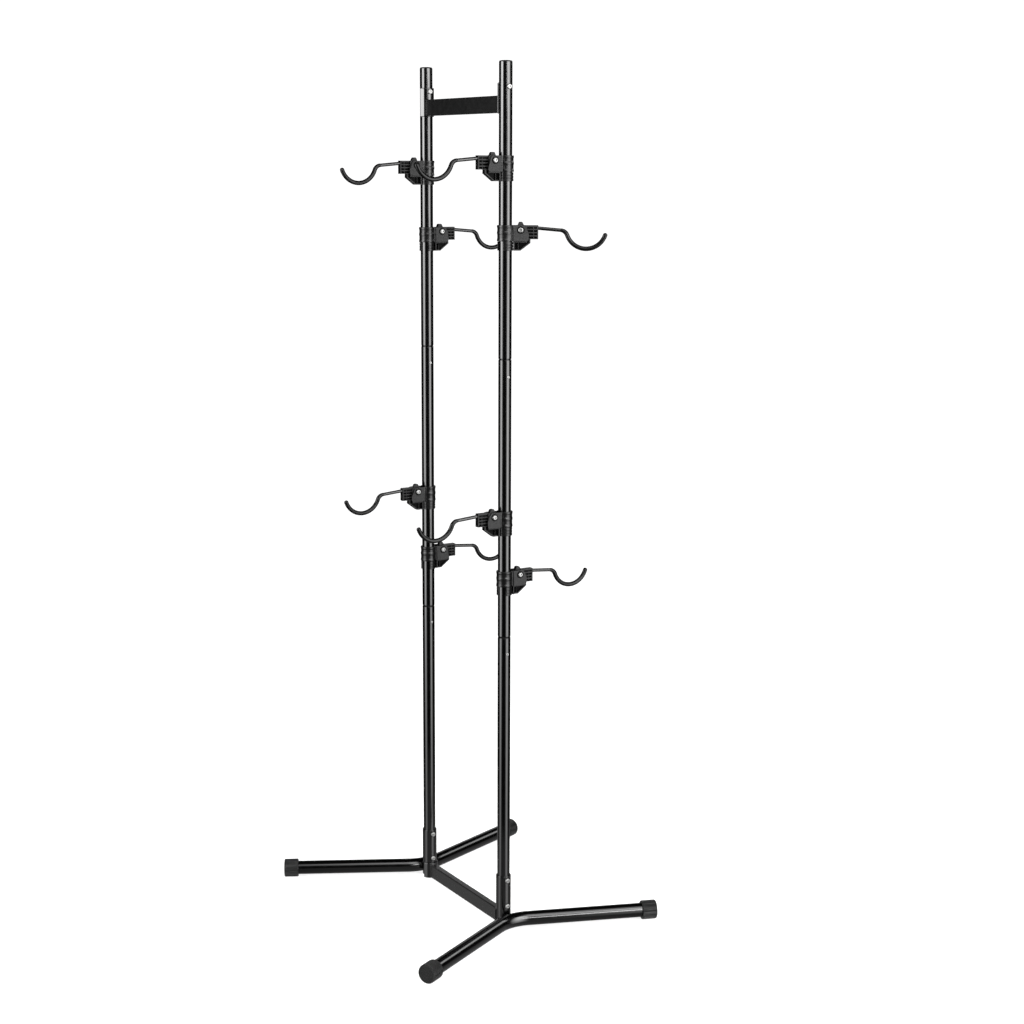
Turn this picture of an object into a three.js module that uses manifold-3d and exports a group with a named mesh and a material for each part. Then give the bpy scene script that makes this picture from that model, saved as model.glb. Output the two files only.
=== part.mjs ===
// Bike storage tower: two poles of three tube sections each, standing in sleeves on bent-tube
// feet, tied together by a low and a high crossbar. Each pole carries four hook arms, and every
// arm can be set to a height, swivelled round its pole and folded up against it.
// Millimetres, +Z up, origin on the floor midway between the poles. The poles stand on the Y
// axis ("near" at -Y, "far" at +Y) and the arms point along -X ("left") and +X ("right").
import * as THREE from 'three';
import { mergeVertices } from 'three/addons/utils/BufferGeometryUtils.js';
import Module from 'manifold-3d';

// Whole tower
const towerHeight = 2150;
const poleSpacing = 390;

// Fits: the gap between pieces that touch, the overlap of welded pieces, the overrun of cuts
const fitGap = 0.3;
const weldOverlap = 1.5;
const cutOverrun = 5;

// Pole sections
const poleDiameter = 32;
const poleWall = 1.5;
const lowerSectionTop = 757;
const middleSectionTop = 1446;
const spigotLength = 60;
const poleEdgeRound = 1.2;
const plugCrown = 2.5;
const plugThickness = 3;

// Feet: bent leg tube, upright sleeve and rubber caps. Each foot has slewed a few degrees about
// its pole, counted anticlockwise from above
const legDiameter = 36;
const legWall = 1.5;
const legLength = 384.5;
const legAngle = 24.3;
const legBendRadius = 110;
const nearFootTurn = 4.1;
const farFootTurn = -3.1;
const sleeveDiameter = 38;
const sleeveBottom = 10;
const sleeveTop = 137;
const sleeveRimRound = 1;
const capDiameter = 48;
const capLength = 38;
const capEndWall = 4;
const capEdgeRound = 3;

// Lower crossbar and its saddles, which reach a little past the bar
const lowBarBottom = 5;
const lowBarHeight = 36;
const lowBarWidth = 18;
const lowBarWall = 1.5;
const lowSaddleLapBelow = 1.5;
const lowSaddleLapAbove = 4;
const lowSaddleWall = 3;
const lowSaddleHalfAngle = 75;

// Upper crossbar and its saddles, which reach up to the bolts near the tops of the poles
const highBarHeight = 40;
const highBarWidth = 20;
const highBarWall = 1.5;
const highSaddleHeight = 71;
const highSaddleLapBelow = 2;
const highSaddleWall = 3.7;
const highSaddleHalfAngle = 82;

// Frame bolts
const frameBoltDiameter = 6;
const frameBoltHeadDiameter = 12.5;
const frameBoltHeadHeight = 4;
const frameBoltCrown = 1.2;
const sleeveBoltShank = 10;
const sleeveBoltRise = 13;
const sleeveBoltDrop = 11;
const highBoltShank = 36;
const highBoltDrop = 61;
const highBoltMargin = 9;

// Clamp collar: split ring with two cheeks
const collarHeight = 38;
const collarWall = 3.7;
const collarEdgeRound = 0.8;
const cheekOuterWidth = 29.5;
const cheekInnerWidth = 22;
const cheekStart = 8;
const cheekTopReach = 48.6;
const cheekBottomReach = 56;
const cheekTopCorner = 2;
const cheekBottomCorner = 6;

// Stop ring under the collar
const stopRingHeight = 21.7;
const stopRingWall = 2.7;
const stopRingStartAngle = -105;
const stopRingEndAngle = 186;

// Pivot bolt through the cheeks
const pivotReach = 36.7;
const pivotDrop = 11;
const pivotDiameter = 8;
const pivotHeadDiameter = 12.4;
const pivotHeadHeight = 4;
const pivotHeadCrown = 1.2;

// Arm bracket: hub, lug, ribbed block and toe
const bracketReach = 75.5;
const bracketHeight = 33;
const lugHeight = 8;
const lugBaseWidth = 18;
const lugTopWidth = 9;
const hubCornerReach = 28;
const hubCornerDrop = 8;
const wedgeReach = 60;
const wedgeDrop = 42;
const toeReach = 36;
const toeDrop = 60;
const pocketDepth = 4.5;
const pocketStart = 51.5;
const pocketEndWall = 3;
const pocketCount = 4;
const pocketHeight = 4.4;
const pocketPitch = 7.5;
const firstPocketDrop = 4.1;
const ribWidth = 1.8;
const wedgeRibReach = 38;
const wedgeFrame = 3;

// Hook rod
const rodDiameter = 8.5;
const rodSleeveDiameter = 11;
const rodSocketStart = 60;
const rodExitDrop = 6.8;
const rodDroop = 5;
const hookReach = 193;
const hookDepth = 55.5;
const hookRadius = 48;
const hookLean = 20;
const hookTipLength = 6;
const rodBendRadius = 14;
const rodSleeveLead = 12;
const rodSleeveLap = 4;

// Where the arms are set: the tops of the upper collars below the tops of the poles, and the
// tops of the lower collars above the floor
const nearLeftUpperDrop = 220;
const nearRightUpperDrop = 383;
const farLeftUpperDrop = 232;
const farRightUpperDrop = 399;
const nearLeftLowerRise = 1075;
const nearRightLowerRise = 925;
const farLeftLowerRise = 1080;
const farRightLowerRise = 919;

// Facet counts of the round shapes, and the turn that one facet of a bend takes, in degrees
const poleSides = 20;
const legSides = 16;
const capSides = 20;
const boltSides = 10;
const holeSides = 8;
const rodSides = 8;
const ringSteps = 12;
const legFacetAngle = 7;
const hookFacetAngle = 13;

// Sizes that follow from the driving dimensions
const poleRadius = poleDiameter / 2;
const poleBore = poleRadius - poleWall;
const legRadius = legDiameter / 2;
const sleeveRadius = sleeveDiameter / 2;
const legAxisHeight = capDiameter / 2;
const legBendSetback = legBendRadius * (1 / cosine(legAngle) - 1);
const legApexOffset = sleeveRadius + legRadius - weldOverlap - legBendSetback;
const slideRadius = poleRadius + fitGap;
const stopRingRadius = slideRadius + stopRingWall;
const bracketWidth = cheekInnerWidth - 2 * fitGap;
const lowSaddleBottom = lowBarBottom - lowSaddleLapBelow;
const lowSaddleTop = lowBarBottom + lowBarHeight + lowSaddleLapAbove;
const sleeveBoltHeights = [lowSaddleTop + sleeveBoltRise, sleeveTop - sleeveBoltDrop];
const highBoltHeight = towerHeight - highBoltDrop;
const highSaddleTop = highBoltHeight + highBoltMargin;
const highSaddleBottom = highSaddleTop - highSaddleHeight;
const highBarBottom = highSaddleBottom + highSaddleLapBelow;

// The arms: the pole that each one is on, its collar's top and the way it points, in degrees
const armSettings = [
  { name: 'near_left_upper', side: -1, height: towerHeight - nearLeftUpperDrop, heading: 180 },
  { name: 'near_right_upper', side: -1, height: towerHeight - nearRightUpperDrop, heading: -30 },
  { name: 'near_left_lower', side: -1, height: nearLeftLowerRise, heading: 180 },
  { name: 'near_right_lower', side: -1, height: nearRightLowerRise, heading: 0 },
  { name: 'far_left_upper', side: 1, height: towerHeight - farLeftUpperDrop, heading: 180 },
  { name: 'far_right_upper', side: 1, height: towerHeight - farRightUpperDrop, heading: 0 },
  { name: 'far_left_lower', side: 1, height: farLeftLowerRise, heading: 180 },
  { name: 'far_right_lower', side: 1, height: farRightLowerRise, heading: 0 },
];

const wasm = await Module();
wasm.setup();

function radians(degrees) {
  return THREE.MathUtils.degToRad(degrees);
}

function cosine(degrees) {
  return Math.cos((degrees * Math.PI) / 180);
}

function sine(degrees) {
  return Math.sin((degrees * Math.PI) / 180);
}

// Finishes, one new material for each mesh
const finishes = {
  paint: { color: 0x111112, roughness: 0.22, metalness: 0.6 },
  plastic: { color: 0x242425, roughness: 0.55, metalness: 0.0 },
  rubber: { color: 0x1a1a1a, roughness: 0.75, metalness: 0.0 },
  vinyl: { color: 0x1d1d1e, roughness: 0.45, metalness: 0.0 },
  zinc: { color: 0xd8d8d6, roughness: 0.25, metalness: 0.95 },
};

function namedMesh(name, geometry, finish) {
  const mesh = new THREE.Mesh(geometry, new THREE.MeshStandardMaterial(finishes[finish]));
  mesh.name = name;
  return mesh;
}

// Closed geometry to boolean solid, with coincident points merged and flat triangles left out
function toSolid(geometry) {
  const bare = geometry.clone();
  bare.deleteAttribute('normal');
  bare.deleteAttribute('uv');
  const merged = mergeVertices(bare);
  const corners = merged.index.array;
  const kept = [];
  for (let i = 0; i < corners.length; i += 3) {
    const [a, b, c] = [corners[i], corners[i + 1], corners[i + 2]];
    if (a !== b && b !== c && c !== a) kept.push(a, b, c);
  }
  return new wasm.Manifold(new wasm.Mesh({
    numProp: 3,
    vertProperties: Float32Array.from(merged.attributes.position.array),
    triVerts: Uint32Array.from(kept),
  }));
}

function toGeometry(solid) {
  const mesh = solid.getMesh();
  const indexed = new THREE.BufferGeometry();
  indexed.setAttribute('position', new THREE.BufferAttribute(mesh.vertProperties, 3));
  indexed.setIndex(new THREE.BufferAttribute(mesh.triVerts, 1));
  const geometry = indexed.toNonIndexed();
  geometry.computeVertexNormals();
  return geometry;
}

function joined(geometries) {
  return geometries.map(toSolid).reduce((whole, next) => whole.add(next));
}

function cutFrom(solid, geometries) {
  return geometries.map(toSolid).reduce((whole, next) => whole.subtract(next), solid);
}

// Radius of a polygon's corners when its flats lie at the given radius
function cornerRadius(flatRadius, sides) {
  return flatRadius / Math.cos(Math.PI / sides);
}

// Profile of [radius, height] points turned round the Z axis
function turned(profile, sides) {
  const points = profile.map(([radius, height]) => new THREE.Vector2(radius, height));
  const geometry = new THREE.LatheGeometry(points, sides);
  geometry.rotateX(Math.PI / 2);
  return geometry;
}

// Round bar from one height to another on the Z axis
function bar(radius, bottom, top, sides) {
  return turned([[0, bottom], [radius, bottom], [radius, top], [0, top]], sides);
}

// Round bar along Y, with its flats at the given radius so that a round bolt clears it
function boltHole(radius, from, to, x, z) {
  const geometry = bar(cornerRadius(radius, holeSides), from, to, holeSides);
  geometry.rotateX(-Math.PI / 2);
  geometry.translate(x, 0, z);
  return geometry;
}

// Block between two opposite corners
function block(low, high) {
  const size = high.map((value, i) => value - low[i]);
  const geometry = new THREE.BoxGeometry(...size);
  geometry.translate(...low.map((value, i) => value + size[i] / 2));
  return geometry;
}

// Outline of [x, z] points made into a plate that spans y from one side to the other
function plate(outline, fromY, toY) {
  const shape = new THREE.Shape(outline.map(([x, z]) => new THREE.Vector2(x, z)));
  const geometry = new THREE.ExtrudeGeometry(shape, { depth: toY - fromY, bevelEnabled: false });
  geometry.rotateX(Math.PI / 2);
  geometry.translate(0, toY, 0);
  return geometry;
}

// Part of a ring round the Z axis, between two angles and two heights
function ringPart(innerRadius, outerRadius, startAngle, endAngle, bottom, top) {
  const shape = new THREE.Shape();
  shape.absarc(0, 0, outerRadius, radians(startAngle), radians(endAngle), false);
  shape.absarc(0, 0, innerRadius, radians(endAngle), radians(startAngle), true);
  shape.closePath();
  const geometry = new THREE.ExtrudeGeometry(shape, {
    depth: top - bottom,
    bevelEnabled: false,
    curveSegments: ringSteps,
  });
  geometry.translate(0, 0, bottom);
  return geometry;
}

// Circular arc that starts at a point and turns about an axis through its centre
class ArcCurve extends THREE.Curve {
  constructor(centre, start, axis, angle) {
    super();
    this.centre = centre;
    this.spoke = start.clone().sub(centre);
    this.axis = axis;
    this.angle = angle;
  }

  getPoint(t, target = new THREE.Vector3()) {
    return target.copy(this.spoke).applyAxisAngle(this.axis, this.angle * t).add(this.centre);
  }
}

// Line and arc pieces in a row. Every piece takes its own whole number of steps, so that a
// straight run needs one step and a bend as many as it has facets.
class SteppedPath extends THREE.Curve {
  constructor() {
    super();
    this.pieces = [];
    this.steps = 0;
  }

  add(curve, steps) {
    this.pieces.push({ curve, steps, first: this.steps });
    this.steps += steps;
  }

  locate(share) {
    const step = share * this.steps;
    const piece = this.pieces.findLast(({ first }) => first <= step);
    return [piece.curve, Math.min((step - piece.first) / piece.steps, 1)];
  }

  getPointAt(share, target) {
    const [curve, t] = this.locate(share);
    return curve.getPoint(t, target);
  }

  getTangentAt(share, target) {
    const [curve, t] = this.locate(share);
    return curve.getTangent(t, target);
  }
}

// Path through corner points, each inner corner rounded by its own bend radius
function bentPath(corners, radii, facetAngle) {
  const path = new SteppedPath();
  let from = corners[0];
  for (let i = 1; i < corners.length - 1; i += 1) {
    const inward = corners[i].clone().sub(corners[i - 1]).normalize();
    const outward = corners[i + 1].clone().sub(corners[i]).normalize();
    const angle = inward.angleTo(outward);
    const axis = inward.clone().cross(outward).normalize();
    const setback = radii[i - 1] * Math.tan(angle / 2);
    const start = corners[i].clone().addScaledVector(inward, -setback);
    const centre = start.clone().addScaledVector(axis.clone().cross(inward), radii[i - 1]);
    path.add(new THREE.LineCurve3(from, start), 1);
    path.add(new ArcCurve(centre, start, axis, angle), Math.ceil(angle / radians(facetAngle)));
    from = corners[i].clone().addScaledVector(outward, setback);
  }
  path.add(new THREE.LineCurve3(from, corners[corners.length - 1]), 1);
  return path;
}

// Round rod along a path
function rodAlong(path, radius, sides) {
  const corners = [];
  for (let i = 0; i < sides; i += 1) {
    const angle = (2 * Math.PI * (i + 1 / 2)) / sides;
    corners.push(new THREE.Vector2(radius * Math.cos(angle), radius * Math.sin(angle)));
  }
  const shape = new THREE.Shape(corners);
  return new THREE.ExtrudeGeometry(shape, {
    steps: path.steps ?? 1,
    extrudePath: path,
    bevelEnabled: false,
  });
}

// Pole sections: round tubes, the upper two with a narrowed end that stands in the one below.
// The top one is closed by its domed end plug.
function tubeProfile(bottom, top) {
  return [
    [poleRadius - poleEdgeRound, bottom],
    [poleRadius, bottom + poleEdgeRound],
    [poleRadius, top - poleEdgeRound],
    [poleRadius - poleEdgeRound, top],
  ];
}

function spigotProfile(bottom) {
  const spigotRadius = poleBore - fitGap;
  return [
    [spigotRadius - poleWall, bottom - spigotLength],
    [spigotRadius, bottom - spigotLength],
    [spigotRadius, bottom],
  ];
}

function plainSection(bottom, top) {
  const profile = [
    [poleBore, bottom],
    ...tubeProfile(bottom, top),
    [poleBore, top],
    [poleBore, bottom],
  ];
  return turned(profile, poleSides);
}

function spigotSection(bottom, top) {
  const profile = [
    ...spigotProfile(bottom),
    ...tubeProfile(bottom, top),
    [poleBore, top],
    [poleBore, bottom + poleWall],
    [poleBore - fitGap - poleWall, bottom],
    [poleBore - fitGap - poleWall, bottom - spigotLength],
  ];
  return turned(profile, poleSides);
}

function pluggedSection(bottom, top) {
  const shoulder = top - plugCrown;
  const profile = [
    [0, shoulder - plugThickness],
    [poleBore, shoulder - plugThickness],
    [poleBore, bottom + poleWall],
    [poleBore - fitGap - poleWall, bottom],
    ...spigotProfile(bottom),
    [poleRadius - poleEdgeRound, bottom],
    [poleRadius, bottom + poleEdgeRound],
    [poleRadius, shoulder],
    [poleRadius - plugCrown / 2, top - plugCrown / 3],
    [poleRadius / 2, top],
    [0, top],
  ];
  return turned(profile, poleSides);
}

function lowerPoleSection() {
  const bottom = sleeveBottom;
  const holes = sleeveBoltHeights.map((height) => (
    boltHole(frameBoltDiameter / 2 + fitGap, -poleRadius - cutOverrun, 0, 0, height)
  ));
  return toGeometry(cutFrom(toSolid(plainSection(bottom, lowerSectionTop)), holes));
}

function middlePoleSection() {
  return spigotSection(lowerSectionTop + fitGap, middleSectionTop);
}

function upperPoleSection() {
  const outside = poleRadius + cutOverrun;
  const hole = boltHole(frameBoltDiameter / 2 + fitGap, -outside, outside, 0, highBoltHeight);
  const tube = pluggedSection(middleSectionTop + fitGap, towerHeight);
  return toGeometry(cutFrom(toSolid(tube), [hole]));
}

// Foot: one bent tube with an upright sleeve welded to the inside of its bend.
// The bend opens away from the other pole, which lies towards -side. The tube is turned about
// the pole's axis by the foot's own turn, in degrees anticlockwise from above.
function legRod(side, turn, length, radius) {
  const apex = new THREE.Vector3(0, side * legApexOffset, legAxisHeight);
  const along = new THREE.Vector3(cosine(legAngle), side * sine(legAngle), 0);
  const rightEnd = apex.clone().addScaledVector(along, length);
  const leftEnd = rightEnd.clone().setX(-rightEnd.x);
  const path = bentPath([leftEnd, apex, rightEnd], [legBendRadius], legFacetAngle);
  const rod = rodAlong(path, radius, legSides);
  rod.rotateZ(radians(turn));
  return rod;
}

function footFrame(side, turn) {
  const tubeLength = legLength - capEndWall - fitGap;
  const sleeveProfile = [
    [slideRadius - weldOverlap, sleeveBottom],
    [sleeveRadius - sleeveRimRound, sleeveBottom],
    [sleeveRadius, sleeveBottom + sleeveRimRound],
    [sleeveRadius, sleeveTop - sleeveRimRound],
    [sleeveRadius - sleeveRimRound, sleeveTop],
    [slideRadius - weldOverlap, sleeveTop],
    [slideRadius - weldOverlap, sleeveBottom],
  ];
  const body = joined([
    legRod(side, turn, tubeLength, legRadius),
    turned(sleeveProfile, poleSides),
  ]);
  const poleHole = bar(
    cornerRadius(slideRadius, poleSides),
    -cutOverrun,
    sleeveTop + cutOverrun,
    poleSides,
  );
  const boltHoles = sleeveBoltHeights.map((height) => (
    boltHole(frameBoltDiameter / 2 + fitGap, -sleeveRadius - cutOverrun, 0, 0, height)
  ));
  const legHollow = legRod(side, turn, tubeLength + cutOverrun, legRadius - legWall);
  return toGeometry(cutFrom(body, [poleHole, legHollow, ...boltHoles]));
}

// Rubber cap pushed over the end of a leg, with one flat of its rim on the floor
function footCap() {
  const rim = cornerRadius(capDiameter / 2, capSides);
  const bore = cornerRadius(legRadius + fitGap, capSides);
  const profile = [
    [0, -capEndWall],
    [bore, -capEndWall],
    [bore, -capLength],
    [rim - capEdgeRound / 2, -capLength],
    [rim, -capLength + capEdgeRound / 2],
    [rim, -capEdgeRound],
    [rim - capEdgeRound / 3, -capEdgeRound / 3],
    [rim - capEdgeRound, 0],
    [0, 0],
  ];
  const geometry = turned(profile, capSides);
  geometry.rotateZ(Math.PI / capSides);
  geometry.rotateY(Math.PI / 2);
  return geometry;
}

// Cap on one end of a leg, in the place that its foot's turn about the pole gives it
function footCapMesh(name, sideX, sideY, turn) {
  const mesh = namedMesh(name, footCap(), 'rubber');
  const end = new THREE.Vector2(
    sideX * legLength * cosine(legAngle),
    sideY * (legApexOffset + legLength * sine(legAngle)),
  );
  end.rotateAround(new THREE.Vector2(0, 0), radians(turn));
  mesh.position.set(end.x, end.y + (sideY * poleSpacing) / 2, legAxisHeight);
  const heading = Math.atan2(sideY * sine(legAngle), sideX * cosine(legAngle));
  mesh.rotation.z = heading + radians(turn);
  return mesh;
}

// Crossbar: a rectangular tube with a part-ring saddle welded to each end. The tube's hollow
// runs out through the saddles. All sizes come in as one description.
function crossbar(spec) {
  const poleY = poleSpacing / 2;
  const saddleAt = (side) => {
    const middle = -90 * side;
    const saddle = ringPart(
      spec.carrierRadius - weldOverlap,
      spec.carrierRadius + fitGap + spec.saddleWall,
      middle - spec.saddleHalfAngle,
      middle + spec.saddleHalfAngle,
      spec.saddleBottom,
      spec.saddleTop,
    );
    saddle.translate(0, side * poleY, 0);
    return saddle;
  };
  const clearanceAt = (side) => {
    const hole = bar(
      cornerRadius(spec.carrierRadius + fitGap, poleSides),
      spec.saddleBottom - cutOverrun,
      spec.saddleTop + cutOverrun,
      poleSides,
    );
    hole.translate(0, side * poleY, 0);
    return hole;
  };
  const halfWidth = spec.width / 2;
  const barEnd = poleY - spec.carrierRadius;
  const barTop = spec.bottom + spec.height;
  const body = joined([
    block([-halfWidth, -barEnd, spec.bottom], [halfWidth, barEnd, barTop]),
    saddleAt(-1),
    saddleAt(1),
  ]);
  const hollow = block(
    [-halfWidth + spec.wall, -poleY, spec.bottom + spec.wall],
    [halfWidth - spec.wall, poleY, barTop - spec.wall],
  );
  return cutFrom(body, [hollow, clearanceAt(-1), clearanceAt(1)]);
}

function lowCrossbar() {
  return toGeometry(crossbar({
    carrierRadius: sleeveRadius,
    saddleWall: lowSaddleWall,
    saddleHalfAngle: lowSaddleHalfAngle,
    saddleBottom: lowSaddleBottom,
    saddleTop: lowSaddleTop,
    width: lowBarWidth,
    wall: lowBarWall,
    bottom: lowBarBottom,
    height: lowBarHeight,
  }));
}

function highCrossbar() {
  const body = crossbar({
    carrierRadius: poleRadius,
    saddleWall: highSaddleWall,
    saddleHalfAngle: highSaddleHalfAngle,
    saddleBottom: highSaddleBottom,
    saddleTop: highSaddleTop,
    width: highBarWidth,
    wall: highBarWall,
    bottom: highBarBottom,
    height: highBarHeight,
  });
  const reach = poleSpacing / 2;
  return toGeometry(cutFrom(body, [
    boltHole(frameBoltDiameter / 2 + fitGap, -reach, reach, 0, highBoltHeight),
  ]));
}

// Round-headed bolt along Y, its head towards -Y and its shank starting at y = 0
function frameBolt(shankLength) {
  const headRadius = frameBoltHeadDiameter / 2;
  const shankRadius = frameBoltDiameter / 2;
  const profile = [
    [0, -frameBoltHeadHeight],
    [headRadius - frameBoltCrown, -frameBoltHeadHeight],
    [headRadius, frameBoltCrown - frameBoltHeadHeight],
    [headRadius, 0],
    [shankRadius, 0],
    [shankRadius, shankLength],
    [0, shankLength],
  ];
  const geometry = turned(profile, boltSides);
  geometry.rotateX(-Math.PI / 2);
  return geometry;
}

function frameBoltMesh(name, shankLength, seatY, height) {
  const mesh = namedMesh(name, frameBolt(shankLength), 'zinc');
  mesh.position.set(0, seatY - fitGap, height);
  return mesh;
}

// Stop ring: a split ring that grips the pole and carries the collar above it
function stopRing() {
  const top = -collarHeight - fitGap;
  const bore = cornerRadius(slideRadius, 2 * ringSteps);
  return ringPart(
    bore,
    stopRingRadius,
    stopRingStartAngle,
    stopRingEndAngle,
    top - stopRingHeight,
    top,
  );
}

// Clamp collar: a ring round the pole, open between two cheeks that hold the arm
function clampCollar() {
  const outer = slideRadius + collarWall;
  const ring = turned([
    [slideRadius - weldOverlap, -collarHeight],
    [outer - collarEdgeRound, -collarHeight],
    [outer, collarEdgeRound - collarHeight],
    [outer, -collarEdgeRound],
    [outer - collarEdgeRound, 0],
    [slideRadius - weldOverlap, 0],
    [slideRadius - weldOverlap, -collarHeight],
  ], poleSides);
  const cheeks = plate([
    [cheekStart, -collarHeight],
    [cheekBottomReach - cheekBottomCorner, -collarHeight],
    [cheekBottomReach - cheekBottomCorner / 3, cheekBottomCorner / 3 - collarHeight],
    [cheekBottomReach, cheekBottomCorner - collarHeight],
    [cheekTopReach, -cheekTopCorner],
    [cheekTopReach - cheekTopCorner, 0],
    [cheekStart, 0],
  ], -cheekOuterWidth / 2, cheekOuterWidth / 2);
  const slot = block(
    [cheekStart, -cheekInnerWidth / 2, -collarHeight - cutOverrun],
    [cheekBottomReach + cutOverrun, cheekInnerWidth / 2, cutOverrun],
  );
  const poleHole = bar(
    cornerRadius(slideRadius, poleSides),
    -collarHeight - cutOverrun,
    cutOverrun,
    poleSides,
  );
  const pivotHole = boltHole(
    pivotDiameter / 2 + fitGap,
    -cheekOuterWidth,
    cheekOuterWidth,
    pivotReach,
    -pivotDrop,
  );
  return toGeometry(cutFrom(joined([ring, cheeks]), [slot, poleHole, pivotHole]));
}

// Pivot bolt with its domed nut, across both cheeks
function pivotBolt() {
  const headRadius = pivotHeadDiameter / 2;
  const seat = cheekOuterWidth / 2 + fitGap;
  const end = seat + pivotHeadHeight;
  const geometry = turned([
    [0, -end],
    [headRadius - pivotHeadCrown, -end],
    [headRadius, pivotHeadCrown - end],
    [headRadius, -seat],
    [pivotDiameter / 2, -seat],
    [pivotDiameter / 2, seat],
    [headRadius, seat],
    [headRadius, end - pivotHeadCrown],
    [headRadius - pivotHeadCrown, end],
    [0, end],
  ], boltSides);
  geometry.rotateX(-Math.PI / 2);
  geometry.translate(pivotReach, 0, -pivotDrop);
  return geometry;
}

// Arm bracket: a hub between the cheeks, a lug above it, a ribbed block that holds the rod and
// a toe that bears on the stop ring. The pockets between the ribs are open to both sides.
function rodDirection() {
  return new THREE.Vector3(cosine(rodDroop), 0, -sine(rodDroop));
}

function bracketPockets() {
  const half = bracketWidth / 2;
  const blockRib = (pocketStart + bracketReach - pocketEndWall) / 2;
  const spans = [
    [pocketStart, blockRib - ribWidth / 2],
    [blockRib + ribWidth / 2, bracketReach - pocketEndWall],
  ];
  const wedgeTop = -collarHeight - wedgeFrame;
  const slope = (toeDrop - wedgeDrop) / (wedgeReach - toeReach);
  const slopeFrame = wedgeFrame * Math.hypot(1, slope);
  const wedgeEdge = (x) => slope * (x - toeReach) - toeDrop + slopeFrame;
  const wedgeEnd = wedgeReach - wedgeFrame;
  const outlines = [
    [
      [wedgeRibReach, wedgeTop],
      [wedgeRibReach, wedgeEdge(wedgeRibReach)],
      [wedgeEnd - wedgeFrame, wedgeEdge(wedgeEnd - wedgeFrame)],
      [wedgeEnd - wedgeFrame, wedgeTop],
    ],
    [
      [stopRingRadius + wedgeFrame, wedgeTop],
      [stopRingRadius + wedgeFrame, -toeDrop + wedgeFrame],
      [wedgeRibReach - ribWidth, -toeDrop + wedgeFrame],
      [wedgeRibReach - ribWidth, wedgeTop],
    ],
  ];
  for (let row = 0; row < pocketCount; row += 1) {
    const top = -firstPocketDrop - row * pocketPitch;
    const bottom = top - pocketHeight;
    spans.forEach(([from, to]) => {
      outlines.push([[from, bottom], [to, bottom], [to, top], [from, top]]);
    });
  }
  return outlines.flatMap((outline) => [
    plate(outline, half - pocketDepth, half + cutOverrun),
    plate(outline, -half - cutOverrun, -half + pocketDepth),
  ]);
}

function armBracket() {
  const half = bracketWidth / 2;
  const inner = stopRingRadius + fitGap;
  const body = plate([
    [inner, -toeDrop],
    [toeReach, -toeDrop],
    [wedgeReach, -wedgeDrop],
    [wedgeReach, -bracketHeight],
    [bracketReach, -bracketHeight],
    [bracketReach, 0],
    [pivotReach + lugBaseWidth / 2, 0],
    [pivotReach + lugTopWidth / 2, lugHeight],
    [pivotReach - lugTopWidth / 2, lugHeight],
    [hubCornerReach, 0],
    [inner, -hubCornerDrop],
  ], -half, half);
  const pivotHole = boltHole(
    pivotDiameter / 2 + fitGap,
    -bracketWidth,
    bracketWidth,
    pivotReach,
    -pivotDrop,
  );
  const socketDepth = bracketReach - rodSocketStart + fitGap;
  const rodHole = bar(
    cornerRadius(rodDiameter / 2 + fitGap, boltSides),
    -socketDepth,
    cutOverrun,
    boltSides,
  );
  rodHole.rotateY(Math.PI / 2 + radians(rodDroop));
  rodHole.translate(bracketReach, 0, -rodExitDrop);
  return toGeometry(cutFrom(toSolid(body), [pivotHole, rodHole, ...bracketPockets()]));
}

// Hook rod: a straight drooping rod, a short reverse bend and a wide upturned hook.
// The bend and the hook wear a thicker soft sleeve that reaches past the rod's tip.
function hookRod() {
  const exit = new THREE.Vector3(bracketReach, 0, -rodExitDrop);
  const along = rodDirection();
  const valley = new THREE.Vector3(hookReach, 0, hookRadius - hookDepth);
  valley.z -= hookRadius / sine(hookLean);
  const slope = along.z / along.x;
  const lineHeight = exit.z + (hookReach - exit.x) * slope;
  const climb = (lineHeight - valley.z) / (cosine(hookLean) + sine(hookLean) * slope);
  const bend = new THREE.Vector3(
    valley.x - climb * sine(hookLean),
    0,
    valley.z + climb * cosine(hookLean),
  );
  const tangent = (hookRadius * cosine(hookLean)) / sine(hookLean);
  const tip = new THREE.Vector3(
    valley.x + (tangent + hookTipLength) * sine(hookLean),
    0,
    valley.z + (tangent + hookTipLength) * cosine(hookLean),
  );
  const socketEnd = exit.clone().addScaledVector(along, rodSocketStart - bracketReach);
  const sleeveStart = bend.clone().addScaledVector(along, -rodSleeveLead);
  const rodEnd = bend.clone().addScaledVector(along, rodSleeveLap - rodSleeveLead);
  const straight = new THREE.LineCurve3(socketEnd, rodEnd);
  const corners = [sleeveStart, bend, valley, tip];
  const hook = bentPath(corners, [rodBendRadius, hookRadius], hookFacetAngle);
  return toGeometry(joined([
    rodAlong(straight, rodDiameter / 2, rodSides),
    rodAlong(hook, rodSleeveDiameter / 2, rodSides),
  ]));
}

// One arm: stop ring, collar, pivot bolt, bracket and hook, in a group turned to its heading
function hookArm({ name, side, height, heading }) {
  const group = new THREE.Group();
  group.position.set(0, (side * poleSpacing) / 2, height);
  group.rotation.z = radians(heading);
  group.add(
    namedMesh(`${name}_stop_ring`, stopRing(), 'plastic'),
    namedMesh(`${name}_clamp_collar`, clampCollar(), 'plastic'),
    namedMesh(`${name}_pivot_bolt`, pivotBolt(), 'zinc'),
    namedMesh(`${name}_arm_bracket`, armBracket(), 'plastic'),
    namedMesh(`${name}_hook_rod`, hookRod(), 'vinyl'),
  );
  return group;
}

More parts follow.
